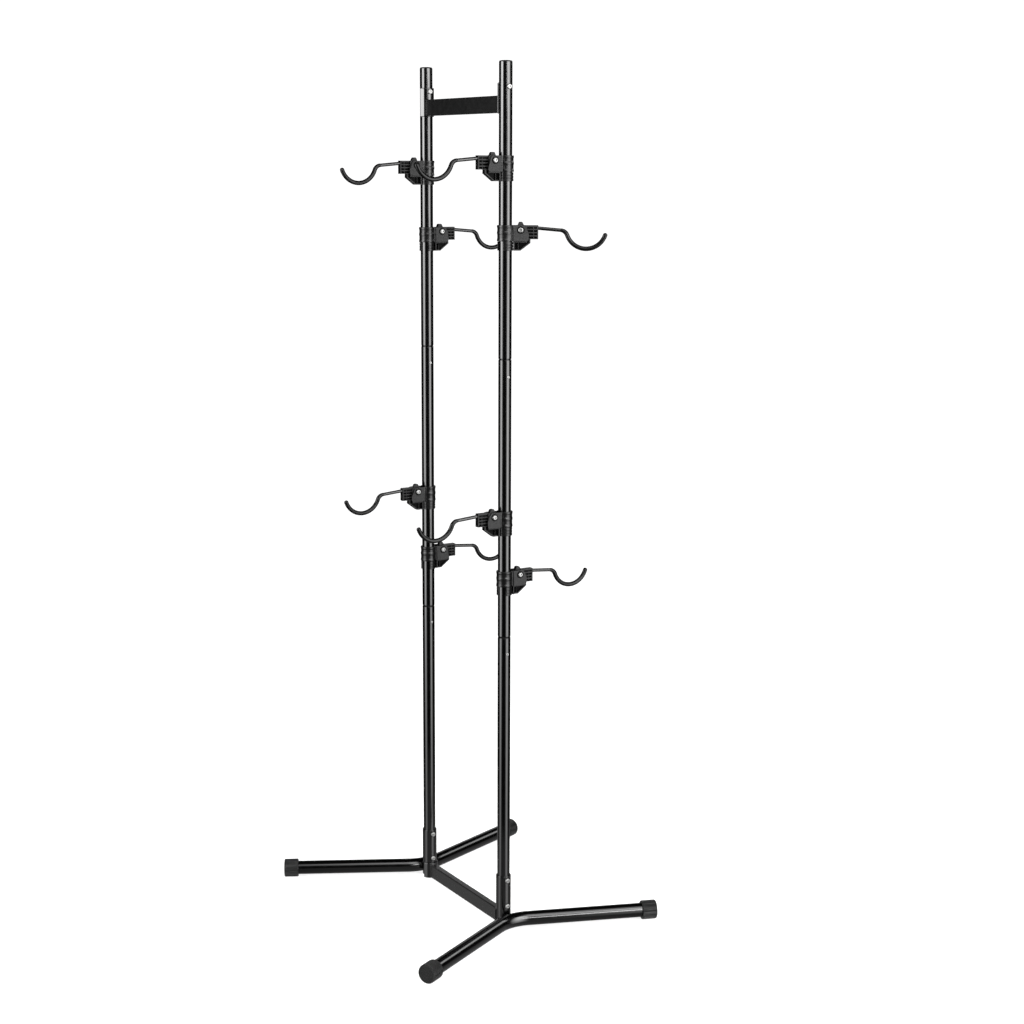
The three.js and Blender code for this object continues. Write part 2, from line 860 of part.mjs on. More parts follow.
// One pole with its foot, sections and bolts
function poleStand(name, side, footTurn) {
  const group = new THREE.Group();
  group.position.y = (side * poleSpacing) / 2;
  group.add(
    namedMesh(`${name}_foot_frame`, footFrame(side, footTurn), 'paint'),
    namedMesh(`${name}_pole_lower_section`, lowerPoleSection(), 'paint'),
    namedMesh(`${name}_pole_middle_section`, middlePoleSection(), 'paint'),
    namedMesh(`${name}_pole_upper_section`, upperPoleSection(), 'paint'),
  );
  sleeveBoltHeights.forEach((height, i) => {
    const level = ['lower', 'upper'][i];
    const boltName = `${name}_sleeve_bolt_${level}`;
    group.add(frameBoltMesh(boltName, sleeveBoltShank, -sleeveRadius, height));
  });
  const saddleWall = side > 0 ? highSaddleWall + fitGap : 0;
  const seat = -poleRadius - saddleWall;
  group.add(frameBoltMesh(`${name}_crossbar_bolt`, highBoltShank, seat, highBoltHeight));
  return group;
}

const tower = new THREE.Group();
tower.add(
  poleStand('near', -1, nearFootTurn),
  poleStand('far', 1, farFootTurn),
  footCapMesh('near_left_foot_cap', -1, -1, nearFootTurn),
  footCapMesh('near_right_foot_cap', 1, -1, nearFootTurn),
  footCapMesh('far_left_foot_cap', -1, 1, farFootTurn),
  footCapMesh('far_right_foot_cap', 1, 1, farFootTurn),
  namedMesh('lower_crossbar', lowCrossbar(), 'paint'),
  namedMesh('upper_crossbar', highCrossbar(), 'paint'),
  ...armSettings.map(hookArm),
);

export default tower;
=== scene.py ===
# Bike storage tower: two black steel poles on splayed bent-tube feet, tied by two crossbars, with
# eight height-adjustable plastic clamps that each hold a drooping hook rod.
# Sizes are in millimetres, the studio's in metres. Z is up, +X is to the right, and the near pole
# stands at -Y and the far one at +Y.
import math

import bpy
import numpy as np
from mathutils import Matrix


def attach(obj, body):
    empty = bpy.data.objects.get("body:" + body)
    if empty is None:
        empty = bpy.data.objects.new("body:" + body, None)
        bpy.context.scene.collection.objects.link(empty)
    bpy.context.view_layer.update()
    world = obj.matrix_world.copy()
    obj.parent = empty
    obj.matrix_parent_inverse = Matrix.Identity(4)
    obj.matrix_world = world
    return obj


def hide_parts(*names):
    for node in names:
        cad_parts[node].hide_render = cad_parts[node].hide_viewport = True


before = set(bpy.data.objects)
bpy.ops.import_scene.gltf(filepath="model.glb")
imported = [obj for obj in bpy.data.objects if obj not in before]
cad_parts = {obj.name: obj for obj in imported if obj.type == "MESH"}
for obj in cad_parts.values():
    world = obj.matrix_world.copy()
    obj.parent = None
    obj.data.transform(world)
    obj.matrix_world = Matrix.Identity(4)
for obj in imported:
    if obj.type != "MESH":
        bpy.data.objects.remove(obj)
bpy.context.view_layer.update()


# Studio. The camera stands left of the tower's front, 1.9 m up and 4.7 m away, with a 66 mm lens.
# Floor and backdrop are white. Two tall soft boxes stand in front and fade towards the floor.
# Others hang above, behind and far in front, and a glow comes up from the floor.
camera = bpy.data.objects.new("camera", bpy.data.cameras.new("camera"))
bpy.context.scene.collection.objects.link(camera)
camera.location = (-2.3242, -4.0658, 1.9065)
camera.rotation_euler = (math.radians(79.55), math.radians(-0.18), math.radians(-31.04))
camera.data.lens = 65.92
camera.data.sensor_width = 36
camera.data.shift_x = 0.0045
camera.data.shift_y = -0.0006
camera.data.clip_end = 100
bpy.context.scene.camera = camera
bpy.context.scene.view_settings.view_transform = "Standard"

world = bpy.data.worlds.new("white_backdrop")
bpy.context.scene.world = world
world.use_nodes = True
world.node_tree.nodes["Background"].inputs["Color"].default_value = (1, 1, 1, 1)
world.node_tree.nodes["Background"].inputs["Strength"].default_value = 1.1
world.cycles_visibility.glossy = False


def floor_disc(radius, rings, sides):
    """Flat disc: every point lies at its ring's radius and its column's angle, at height zero."""
    radii = np.linspace(radius / rings, radius, rings)[:, None]
    angles = np.linspace(0, 2 * np.pi, sides, endpoint=False)[None, :]
    x, y = radii * np.cos(angles), radii * np.sin(angles)
    points = np.stack([x, y, np.zeros_like(x)], axis=-1).reshape(-1, 3)
    ring, column = np.arange(rings - 1)[:, None], np.arange(sides)[None, :]
    after = (column + 1) % sides
    quads = np.stack([ring * sides + column, (ring + 1) * sides + column,
                      (ring + 1) * sides + after, ring * sides + after], axis=-1)
    mesh = bpy.data.meshes.new("studio_floor")
    mesh.from_pydata(points.tolist(), [], [list(range(sides)), *quads.reshape(-1, 4).tolist()])
    return bpy.data.objects.new("studio_floor", mesh)


floor = floor_disc(radius=12, rings=6, sides=96)
bpy.context.scene.collection.objects.link(floor)
floor_paper = bpy.data.materials.new("white_paper")
floor_paper.use_nodes = True
paper = floor_paper.node_tree.nodes["Principled BSDF"]
paper.inputs["Base Color"].default_value = (0.3, 0.3, 0.3, 1)
paper.inputs["Emission Color"].default_value = (1, 1, 1, 1)
paper.inputs["Emission Strength"].default_value = 0.75
paper.inputs["Roughness"].default_value = 0.9
paper.inputs["Specular IOR Level"].default_value = 0.0
floor.data.materials.append(floor_paper)
floor.visible_glossy = False
floor.visible_shadow = False


CAMERA_SIDE = 239
BELL = (0, 0.55, 1, 0.55, 0)


def soft_box(name, heading, distance, centre_height, width, height, radiance, levels, lift=0):
    """Area light that faces the tower from a heading in degrees, counted from the camera's side
    and positive to the right, and looks down by its lift. Its power is radiance times pi times
    its area. The brightness is the product of a bell across its width and of the levels, spaced
    evenly from foot to top."""
    angle = math.radians(CAMERA_SIDE + heading)
    data = bpy.data.lights.new(name, "AREA")
    data.shape = "RECTANGLE"
    data.size, data.size_y = width, height
    data.energy = radiance * math.pi * width * height
    data.use_nodes = True
    tree = data.node_tree
    place = tree.nodes.new("ShaderNodeNewGeometry")
    split = tree.nodes.new("ShaderNodeSeparateXYZ")
    tree.links.new(place.outputs["Parametric"], split.inputs["Vector"])
    product = tree.nodes.new("ShaderNodeMath")
    product.operation = "MULTIPLY"
    for axis, values, factor in (("X", BELL, 0), ("Y", levels, 1)):
        ramp = tree.nodes.new("ShaderNodeValToRGB")
        ramp.color_ramp.interpolation = "B_SPLINE"
        stops = ramp.color_ramp.elements
        while len(stops) < len(values):
            stops.new(0.5)
        for i, value in enumerate(values):
            stops[i].position = i / (len(values) - 1)
            stops[i].color = (value, value, value, 1)
        tree.links.new(split.outputs[axis], ramp.inputs["Fac"])
        tree.links.new(ramp.outputs["Color"], product.inputs[factor])
    tree.links.new(product.outputs["Value"], tree.nodes["Emission"].inputs["Strength"])
    light = bpy.data.objects.new(name, data)
    light.location = (distance * math.cos(angle), distance * math.sin(angle), centre_height)
    light.rotation_euler = (math.radians(90 - lift), 0, angle + math.radians(90))
    light.visible_camera = False
    bpy.context.scene.collection.objects.link(light)


soft_box("left_soft_box", heading=-60, distance=2.6, centre_height=0.95, width=2.4, height=4.2,
         radiance=29.0, levels=(0.06, 0.11, 0.25, 0.46, 0.40, 0.72, 0.86, 0.9))
soft_box("right_soft_box", heading=54, distance=2.6, centre_height=0.95, width=2.6, height=4.2,
         radiance=19.0, levels=(0.12, 0.22, 0.42, 0.6, 0.7, 0.8, 0.9, 0.9))
soft_box("ceiling_soft_box", heading=22, distance=2.3, centre_height=3.5, width=3.4, height=2.6,
         radiance=8.0, levels=(1, 1, 1, 0.6), lift=75)
soft_box("front_strip", heading=30, distance=7.0, centre_height=3.15, width=4.4, height=1.0,
         radiance=42.0, levels=(1, 0.9, 0.6, 0.4))
soft_box("back_top_box", heading=121, distance=5.0, centre_height=3.3, width=3.6, height=1.3,
         radiance=6.5, levels=(0.6, 1, 1, 0.6), lift=32)
soft_box("back_soft_box", heading=180, distance=3.5, centre_height=1.0, width=4.5, height=1.5,
         radiance=0.9, levels=(0.8, 1, 1, 0.5))
soft_box("floor_glow", heading=0, distance=0.0, centre_height=-0.02, width=1.8, height=1.8,
         radiance=0.5, levels=(0.7, 1, 1, 0.7), lift=-90)


# Feet. Each is a 36 mm steel tube bent to an open V, level and just above the floor, with an
# upright sleeve welded to the outside of the bend. Both are coated with gloss black powder paint.
# The feet have slewed a little about their poles.
POLES, POLE_SPACING = (("near", -1), ("far", 1)), 390
LEG_RADIUS, LEG_LENGTH, LEG_ANGLE, LEG_BEND = 18, 384.5, math.radians(24.3), 110
LEG_HEIGHT, LEG_END_INSET = 24, 4.3
SLEEVE_BORE, SLEEVE_RADIUS, SLEEVE_BOTTOM, SLEEVE_TOP = 16.3, 19, 10, 137
SLEEVE_LINE, SLEEVE_LINE_RADIUS, WELD_OVERLAP = 133, 18.5, 1.5
SETBACK = LEG_BEND * (1 / math.cos(LEG_ANGLE) - 1)
APEX = SLEEVE_RADIUS + LEG_RADIUS - WELD_OVERLAP - SETBACK
FOOT_TURNS = {-1: math.radians(4.1), 1: math.radians(-3.1)}


def rounded(corners, radii, steps=6, closed=True):
    """Points of a line through corners, with an arc in each corner. An arc runs from spoke a to
    spoke b about its centre, at share k of its angle w: (sin((1-k)w) a + sin(kw) b) / sin w."""
    corners = np.asarray(corners, float)
    radii = np.broadcast_to(np.asarray(radii, float), len(corners))[:, None]
    back = np.roll(corners, 1, axis=0) - corners
    ahead = np.roll(corners, -1, axis=0) - corners
    back /= np.linalg.norm(back, axis=1, keepdims=True)
    ahead /= np.linalg.norm(ahead, axis=1, keepdims=True)
    half = np.arccos(np.clip((back * ahead).sum(1, keepdims=True), -1, 1)) / 2
    bisector = back + ahead
    bisector /= np.maximum(np.linalg.norm(bisector, axis=1, keepdims=True), 1e-9)
    centres = corners + bisector * radii / np.sin(half)
    first = corners + back * radii / np.tan(half) - centres
    last = corners + ahead * radii / np.tan(half) - centres
    turn = np.maximum(np.pi - 2 * half, 1e-6)[:, None, :]
    share = np.linspace(0, 1, steps + 1)[None, :, None]
    arcs = (np.sin((1 - share) * turn) * first[:, None] + np.sin(share * turn) * last[:, None])
    points = centres[:, None] + arcs / np.sin(turn)
    if not closed:
        points[0], points[-1] = corners[0], corners[-1]
    points = points.reshape(-1, corners.shape[1])
    step = np.linalg.norm(points - np.roll(points, 1, axis=0), axis=1)
    return points[step > 1e-4]


def surface(grid, wrap=False):
    """Closed surface from a grid of points, rows by columns by three. Columns close on
    themselves. Rows do so too where wrap is set, or else a flat face closes each end. All faces
    are turned round if the volume, the sum of a . (b x c) / 6 over the triangles, is negative."""
    rows, columns = grid.shape[:2]
    row = np.arange(rows if wrap else rows - 1)[:, None]
    column = np.arange(columns)[None, :]
    below, after = (row + 1) % rows, (column + 1) % columns
    quads = np.stack([row * columns + column, row * columns + after,
                      below * columns + after, below * columns + column], axis=-1).reshape(-1, 4)
    points = grid.reshape(-1, 3)
    ends = [] if wrap else [np.arange(columns)[::-1], np.arange(columns) + (rows - 1) * columns]
    fans = [np.stack([np.full(columns - 2, e[0]), e[1:-1], e[2:]], axis=-1) for e in ends]
    triangles = np.concatenate([quads[:, [0, 1, 2]], quads[:, [0, 2, 3]], *fans])
    a, b, c = (points[triangles[:, i]] for i in range(3))
    if (a * np.cross(b, c)).sum() < 0:
        quads, ends = quads[:, ::-1], [e[::-1] for e in ends]
    return points, [*quads.tolist(), *[e.tolist() for e in ends]]


def carried(profile, path, across, scale=1.0):
    """Profile of (a, b) points carried along a path: point = path + scale (a n + b across),
    where n is across x tangent and across is the normal of the plane that the path lies in."""
    across = np.asarray(across, float)
    tangent = np.gradient(path, axis=0)
    tangent /= np.linalg.norm(tangent, axis=1, keepdims=True)
    side = np.cross(across, tangent)
    scale = np.broadcast_to(scale, len(path))[:, None, None]
    offsets = profile[None, :, :1] * side[:, None] + profile[None, :, 1:] * across
    return path[:, None] + scale * offsets


def circle(radius, sides):
    """Points of a circle: radius times cosine and sine of equal angles."""
    angles = np.linspace(0, 2 * np.pi, sides, endpoint=False)
    return radius * np.stack([np.cos(angles), np.sin(angles)], axis=-1)


def turned(profile, sides=64):
    """Profile of (radius, height) points turned about the Z axis: x and y are the radius times
    cosine and sine of the turn."""
    profile = np.asarray(profile, float)
    angles = np.linspace(0, 2 * np.pi, sides, endpoint=False)[None, :]
    radius, height = profile[:, :1], profile[:, 1:]
    return np.stack([radius * np.cos(angles), radius * np.sin(angles),
                     height + 0 * angles], axis=-1)


def make_piece(name, surfaces, material, body, slot, *nodes, sharp=42, kinds=None):
    """One object from closed surfaces in millimetres. Shared corners are smooth below the sharp
    angle, with normals weighted by face area so that flats stay flat. Kinds, where given, hold
    a value for each point and go into the attribute face_kind."""
    points = np.concatenate([p for p, _ in surfaces]) / 1000
    starts = np.cumsum([0] + [len(p) for p, _ in surfaces[:-1]])
    faces = [[i + start for i in face] for (_, fs), start in zip(surfaces, starts) for face in fs]
    mesh = bpy.data.meshes.new(name)
    mesh.from_pydata(points.tolist(), [], faces)
    mesh.polygons.foreach_set("use_smooth", np.ones(len(mesh.polygons), bool))
    mesh.set_sharp_from_angle(angle=math.radians(sharp))
    mesh.materials.append(material)
    if kinds is not None:
        mesh.attributes.new("face_kind", "FLOAT", "POINT").data.foreach_set("value", kinds)
    piece = bpy.data.objects.new(name, mesh)
    bpy.context.scene.collection.objects.link(piece)
    weighted = piece.modifiers.new("weighted_normals", "WEIGHTED_NORMAL")
    weighted.keep_sharp = True
    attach(piece, body)
    if nodes:
        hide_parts(*nodes)
    return piece


def finish(name, colour, metallic=0.0, specular=0.5):
    """Material with its node tree and its shader."""
    material = bpy.data.materials.new(name)
    material.use_nodes = True
    tree = material.node_tree
    shader = tree.nodes["Principled BSDF"]
    shader.inputs["Base Color"].default_value = (*colour, 1)
    shader.inputs["Metallic"].default_value = metallic
    shader.inputs["Specular IOR Level"].default_value = specular
    return material, tree, shader


def noise(tree, scale, detail):
    """Noise over the piece's own coordinates. Its grain is about one over scale, in metres."""
    place = tree.nodes.new("ShaderNodeTexCoord")
    grain = tree.nodes.new("ShaderNodeTexNoise")
    grain.inputs["Scale"].default_value = scale
    grain.inputs["Detail"].default_value = detail
    tree.links.new(place.outputs["Object"], grain.inputs["Vector"])
    return grain.outputs["Fac"]


NOISE_RANGE = (0.3, 0.7)


def spread(tree, value, low, high, socket):
    """Carries a value from the range where noise mostly lies to low..high on a socket."""
    span = tree.nodes.new("ShaderNodeMapRange")
    span.inputs["From Min"].default_value, span.inputs["From Max"].default_value = NOISE_RANGE
    span.inputs["To Min"].default_value = low
    span.inputs["To Max"].default_value = high
    tree.links.new(value, span.inputs["Value"])
    tree.links.new(span.outputs["Result"], socket)


def relief(tree, value, shader, depth, strength, below=None):
    """Bump of the given depth in metres, on top of another bump where one is given."""
    bump = tree.nodes.new("ShaderNodeBump")
    bump.inputs["Distance"].default_value = depth
    bump.inputs["Strength"].default_value = strength
    tree.links.new(value, bump.inputs["Height"])
    if below:
        tree.links.new(below, bump.inputs["Normal"])
    tree.links.new(bump.outputs["Normal"], shader.inputs["Normal"])
    return bump.outputs["Normal"]


def two_tone(tree, value, dark, light, shader):
    """Mixes two colours by a noise value and gives them to the shader's base colour."""
    ramp = tree.nodes.new("ShaderNodeValToRGB")
    for stop, position, colour in zip(ramp.color_ramp.elements, NOISE_RANGE, (dark, light)):
        stop.position, stop.color = position, (*colour, 1)
    tree.links.new(value, ramp.inputs["Fac"])
    tree.links.new(ramp.outputs["Color"], shader.inputs["Base Color"])


def gloss_paint():
    """Gloss black powder paint: an even coat with a faint orange peel of 2 mm."""
    material, tree, shader = finish("gloss_black_paint", (0.0003, 0.0003, 0.0003))
    spread(tree, noise(tree, 60, 4), 0.14, 0.19, shader.inputs["Roughness"])
    relief(tree, noise(tree, 520, 1), shader, depth=0.00003, strength=0.2)
    return material


paint = gloss_paint()


def slewed(points, side):
    """Points about a pole's axis, with y outward, turned with its foot and moved to the pole:
    x cos t - y sin t and x sin t + y cos t, with t counted anticlockwise from above."""
    c, s = math.cos(FOOT_TURNS[side]), math.sin(FOOT_TURNS[side])
    x, y = points[..., 0], side * points[..., 1]
    return np.stack([c * x - s * y, s * x + c * y + side * POLE_SPACING / 2, points[..., 2]],
                    axis=-1)


def leg_path(side):
    """Centreline of a foot's bent tube: two straight runs joined by an arc."""
    reach = LEG_LENGTH - LEG_END_INSET
    apex = np.array([0, APEX, 0])
    along = np.array([math.cos(LEG_ANGLE), math.sin(LEG_ANGLE), 0])
    corners = np.array([apex + reach * along * [-1, 1, 0], apex, apex + reach * along])
    path = rounded(corners, [0, LEG_BEND, 0], steps=40, closed=False)
    path[:, 2] = LEG_HEIGHT
    return slewed(path, side)


def weld_bead(side):
    """Bead along the line where leg and sleeve meet. On the sleeve, at angle f from the outward
    direction, the leg's skin lies at height h = sqrt(R^2 - (B - d)^2) above and below its axis,
    with d the distance from the centre of the bend. The bead has a round section whose radius
    ripples by a cosine along it."""
    bead_radius, ripple, ripples = 2.0, 0.18, 24
    centre = APEX + SETBACK + LEG_BEND
    widest = math.acos((SLEEVE_RADIUS ** 2 + centre ** 2 - (LEG_BEND + LEG_RADIUS) ** 2)
                       / (2 * SLEEVE_RADIUS * centre))
    turn = np.linspace(0, 2 * np.pi, 144, endpoint=False)
    f = widest * 0.999 * np.cos(turn)
    a, b = SLEEVE_RADIUS * np.cos(f), SLEEVE_RADIUS * np.sin(f)
    distance = np.hypot(centre - a, b)
    height = np.sqrt(np.maximum(LEG_RADIUS ** 2 - (LEG_BEND - distance) ** 2, 0))
    line = np.stack([b, a, LEG_HEIGHT + height * np.sign(np.sin(turn + 1e-9))], axis=-1)
    line += 0.35 * (np.roll(line, 1, axis=0) + np.roll(line, -1, axis=0) - 2 * line)
    tangent = np.roll(line, -1, axis=0) - np.roll(line, 1, axis=0)
    tangent /= np.linalg.norm(tangent, axis=1, keepdims=True)
    outward = np.stack([np.sin(f), np.cos(f), 0 * f], axis=-1)
    over = np.cross(tangent, outward)
    radius = (bead_radius + ripple * np.cos(ripples * turn))[:, None, None]
    section = circle(1.0, 14)
    grid = line[:, None] + radius * (section[None, :, :1] * outward[:, None]
                                     + section[None, :, 1:] * over[:, None])
    return surface(slewed(grid, side), wrap=True)


sleeve_wall = rounded([(SLEEVE_BORE, SLEEVE_BOTTOM), (SLEEVE_RADIUS, SLEEVE_BOTTOM),
                       (SLEEVE_RADIUS, SLEEVE_LINE), (SLEEVE_LINE_RADIUS, SLEEVE_LINE + 0.4),
                       (SLEEVE_LINE_RADIUS, SLEEVE_LINE + 1), (SLEEVE_RADIUS, SLEEVE_LINE + 1.4),
                       (SLEEVE_RADIUS, SLEEVE_TOP), (SLEEVE_BORE, SLEEVE_TOP)],
                      [0.3, 1, 0.15, 0.1, 0.1, 0.15, 1, 0.4], steps=4)
for name, side in POLES:
    leg = surface(carried(circle(LEG_RADIUS, 56), leg_path(side), (0, 0, 1)))
    sleeve = surface(turned(sleeve_wall) + [0, side * POLE_SPACING / 2, 0], wrap=True)
    make_piece(f"{name}_bent_leg_and_sleeve", [leg, sleeve], paint, "frame", "painted_steel",
               f"{name}_foot_frame")
    make_piece(f"{name}_sleeve_weld", [weld_bead(side)], paint, "frame", "painted_steel")


# Foot caps. Thick black rubber cups, 48 mm across, are pushed over the four leg ends and carry
# the tower. Their end faces are sunk a little inside a rim and cross-hatched for grip.
CAP_RADIUS, CAP_LENGTH, CAP_BORE, CAP_FLOOR = 24, 38, 18.3, 4
RIM_RADIUS, SUNK_RADIUS, SUNK_DEPTH = 20.8, 20.2, 0.7


def cap_rubber():
    """Satin black rubber. On the end face two sets of fine waves cross at right angles."""
    material, tree, shader = finish("black_cap_rubber", (0.0018, 0.0018, 0.0018), specular=0.45)
    two_tone(tree, noise(tree, 90, 5), (0.0012, 0.0012, 0.0012), (0.0026, 0.0026, 0.0025), shader)
    spread(tree, noise(tree, 300, 3), 0.28, 0.36, shader.inputs["Roughness"])
    grain = relief(tree, noise(tree, 1500, 3), shader, depth=0.00006, strength=0.4)
    place = tree.nodes.new("ShaderNodeUVMap")
    place.uv_map = "end_face"
    for turn in (45, -45):
        lay = tree.nodes.new("ShaderNodeMapping")
        lay.inputs["Rotation"].default_value = (0, 0, math.radians(turn))
        waves = tree.nodes.new("ShaderNodeTexWave")
        waves.inputs["Scale"].default_value = 13.0
        tree.links.new(place.outputs["UV"], lay.inputs["Vector"])
        tree.links.new(lay.outputs["Vector"], waves.inputs["Vector"])
        grain = relief(tree, waves.outputs["Fac"], shader, depth=0.0008, strength=1.0, below=grain)
    return material


rubber = cap_rubber()
cap_profile = rounded([(0.4, -CAP_FLOOR), (CAP_BORE, -CAP_FLOOR), (CAP_BORE, -CAP_LENGTH),
                       (CAP_RADIUS, -CAP_LENGTH), (CAP_RADIUS, 0), (RIM_RADIUS, 0),
                       (SUNK_RADIUS, -SUNK_DEPTH), (0.4, -SUNK_DEPTH)],
                      [0, 0.5, 1, 2.2, 3, 0.6, 0.5, 0])
for name, side_x, side_y in (("near_left", -1, -1), ("near_right", 1, -1),
                             ("far_left", -1, 1), ("far_right", 1, 1)):
    heading = math.atan2(math.sin(LEG_ANGLE), side_x * math.cos(LEG_ANGLE))
    upright = turned(cap_profile, 72)
    radius_x, radius_y, depth = (upright[..., i] for i in range(3))
    end = np.array([side_x * LEG_LENGTH * math.cos(LEG_ANGLE),
                    APEX + LEG_LENGTH * math.sin(LEG_ANGLE), LEG_HEIGHT])
    grid = slewed(end + np.stack([depth * math.cos(heading) - radius_y * math.sin(heading),
                                  depth * math.sin(heading) + radius_y * math.cos(heading),
                                  radius_x], axis=-1), side_y)
    cap = make_piece(f"{name}_rubber_foot", [surface(grid)], rubber, "frame", "cap_rubber",
                     f"{name}_foot_cap", sharp=60)
    corner = np.zeros(len(cap.data.loops), int)
    cap.data.loops.foreach_get("vertex_index", corner)
    flat = np.stack([radius_y.ravel(), radius_x.ravel()], axis=-1) / (2 * CAP_RADIUS) + 0.5
    layer = cap.data.uv_layers.new(name="end_face")
    layer.data.foreach_set("uv", flat[corner].ravel())


# Poles. Each is three lengths of 32 mm steel tube with rolled-in ends. The narrowed foot of a
# length stands in the one below, held by a small bright screw, and a plug closes the top.
POLE_RADIUS, POLE_BORE, POLE_TOP = 16, 14.5, 2150
SPIGOT_RADIUS, SPIGOT_BORE, SPIGOT_LENGTH = 14.2, 12.7, 60
JOINTS, JOINT_GAP, JOINT_SCREW_DROP = (757, 1446), 0.3, 41
PLUG_RADIUS, PLUG_LENGTH, PLUG_FLANGE, DOME_RADIUS, DOME_RISE = 14.2, 20, 3, 15.5, 2.4


def tube_wall(bottom, top, spigot):
    """Closed outline of a tube's wall, with rolled-in ends, and a narrowed foot where wanted."""
    rolled = POLE_RADIUS - 1.2
    outline = [(rolled, bottom), (POLE_RADIUS, bottom + 3.6), (POLE_RADIUS, top - 0.6),
               (rolled, top), (POLE_BORE, top)]
    radii = [0.2, 4, 0.5, 0.2, 0.05]
    if spigot:
        outline += [(POLE_BORE, bottom + 3), (SPIGOT_BORE, bottom),
                    (SPIGOT_BORE, bottom - SPIGOT_LENGTH),
                    (SPIGOT_RADIUS, bottom - SPIGOT_LENGTH), (SPIGOT_RADIUS, bottom - 0.1)]
        radii += [0.4, 0.4, 0.3, 0.3, 0.05]
    else:
        outline += [(POLE_BORE, bottom)]
        radii += [0.05]
    return rounded(outline, radii, steps=5)


def zinc_plate():
    """Bright zinc plate on small steel parts, dulled a little by a very fine grain."""
    material, tree, shader = finish("bright_zinc", (0.2, 0.2, 0.197), metallic=1.0)
    two_tone(tree, noise(tree, 400, 3), (0.16, 0.16, 0.157), (0.24, 0.24, 0.237), shader)
    spread(tree, noise(tree, 900, 4), 0.42, 0.54, shader.inputs["Roughness"])
    relief(tree, noise(tree, 3000, 2), shader, depth=0.00002, strength=0.5)
    return material


def plug_plastic():
    """Black end plug of smooth nylon, a little duller than the paint."""
    material, tree, shader = finish("black_plug", (0.004, 0.004, 0.004))
    spread(tree, noise(tree, 200, 3), 0.3, 0.4, shader.inputs["Roughness"])
    relief(tree, noise(tree, 1400, 2), shader, depth=0.00004, strength=0.4)
    return material


def bolt_head(radius, height, crown, socket, shank_radius, shank_length):
    """Button head on its shank, along +Z from the shank's end at -shank_length. The head's edge
    is a quarter circle of radius crown. Every row is a ring; the rows of the socket are
    hexagons, at angle t as far out as flat / cos(t mod 60)."""
    quarter = np.linspace(np.pi / 2, 0, 7)
    shoulder = radius - crown * (1 - np.sin(quarter))
    rise = height - crown * (1 - np.cos(quarter))
    radii = np.array([shank_radius - 0.5, shank_radius, shank_radius, radius - 0.3, radius,
                      *shoulder, socket + 0.55, socket + 0.15, socket, socket])
    heights = np.array([-shank_length, 0.5 - shank_length, 0, 0, 0.3,
                        *rise, height - 0.02, height - 0.12, height - 0.5, height - 2.2])
    hexagonal = np.zeros(len(radii))
    hexagonal[-4:] = (0, 0.6, 1, 1)
    angles = np.linspace(0, 2 * np.pi, 48, endpoint=False)[None, :]
    flat = 1 / np.cos((angles + np.pi / 6) % (np.pi / 3) - np.pi / 6)
    reach = radii[:, None] * (1 + hexagonal[:, None] * (flat - 1))
    return np.stack([reach * np.cos(angles), reach * np.sin(angles),
                     heights[:, None] + 0 * angles], axis=-1)


def facing_front(grid, x, y, z):
    """Turns a grid that points along +Z so that it points along -Y, and moves it to x, y, z."""
    return np.stack([grid[..., 0] + x, -grid[..., 2] + y, grid[..., 1] + z], axis=-1)


def plug_outline():
    """Outline of an end plug: shank, flange and a flattened dome, a quarter of an ellipse."""
    foot, flange, spring = POLE_TOP - PLUG_LENGTH, POLE_TOP - PLUG_FLANGE, POLE_TOP - DOME_RISE
    turn = np.linspace(0, np.pi / 2, 9)
    shank = [(0.5, foot), (PLUG_RADIUS - 0.4, foot), (PLUG_RADIUS, foot + 0.5),
             (PLUG_RADIUS, flange), (DOME_RADIUS - 0.2, flange), (DOME_RADIUS + 0.2, flange + 0.3)]
    dome = np.stack([0.3 + DOME_RADIUS * np.cos(turn), spring + DOME_RISE * np.sin(turn)], axis=-1)
    return np.concatenate([shank, dome])


zinc = zinc_plate()
plug = plug_plastic()
lengths = (("lower", SLEEVE_BOTTOM, JOINTS[0], False),
           ("middle", JOINTS[0] + JOINT_GAP, JOINTS[1], True),
           ("upper", JOINTS[1] + JOINT_GAP, POLE_TOP - PLUG_FLANGE - 0.2, True))
joint_screw = bolt_head(radius=3.3, height=1.7, crown=0.9, socket=1.0, shank_radius=1.5,
                        shank_length=5)
for name, side in POLES:
    here = np.array([0, side * POLE_SPACING / 2, 0])
    for level, bottom, top, spigot in lengths:
        tube = surface(turned(tube_wall(bottom, top, spigot)) + here, wrap=True)
        make_piece(f"{name}_{level}_tube", [tube], paint, "frame", "painted_steel",
                   f"{name}_pole_{level}_section")
    make_piece(f"{name}_end_plug", [surface(turned(plug_outline()) + here)], plug, "frame",
               "painted_steel")
    for level, joint in zip(("lower", "upper"), JOINTS):
        screw = facing_front(joint_screw, 0, here[1] - POLE_RADIUS + 0.15,
                             joint - JOINT_SCREW_DROP)
        make_piece(f"{name}_joint_screw_{level}", [surface(screw)], zinc, "frame", "zinc_bolt")


# Crossbars. Flat rectangular steel tubes, welded at both ends to half-round saddles that hug
# the sleeves at the bottom and the poles at the top, where a bolt goes through each.
def bar_outline(width, bottom, height, steps):
    """Section of a bar in x and z: a rectangle with rounded corners."""
    return rounded([(-width / 2, bottom), (width / 2, bottom), (width / 2, bottom + height),
                    (-width / 2, bottom + height)], 2.6, steps)


def box_tube(width, bottom, height, end):
    """Rectangular tube along Y from -end to end: its section stands at nine even stations."""
    outline = bar_outline(width, bottom, height, steps=6)[None]
    stations = np.linspace(-end, end, 9)[:, None]
    return np.stack([outline[..., 0] + 0 * stations, stations + 0 * outline[..., 0],
                     outline[..., 1] + 0 * stations], axis=-1)


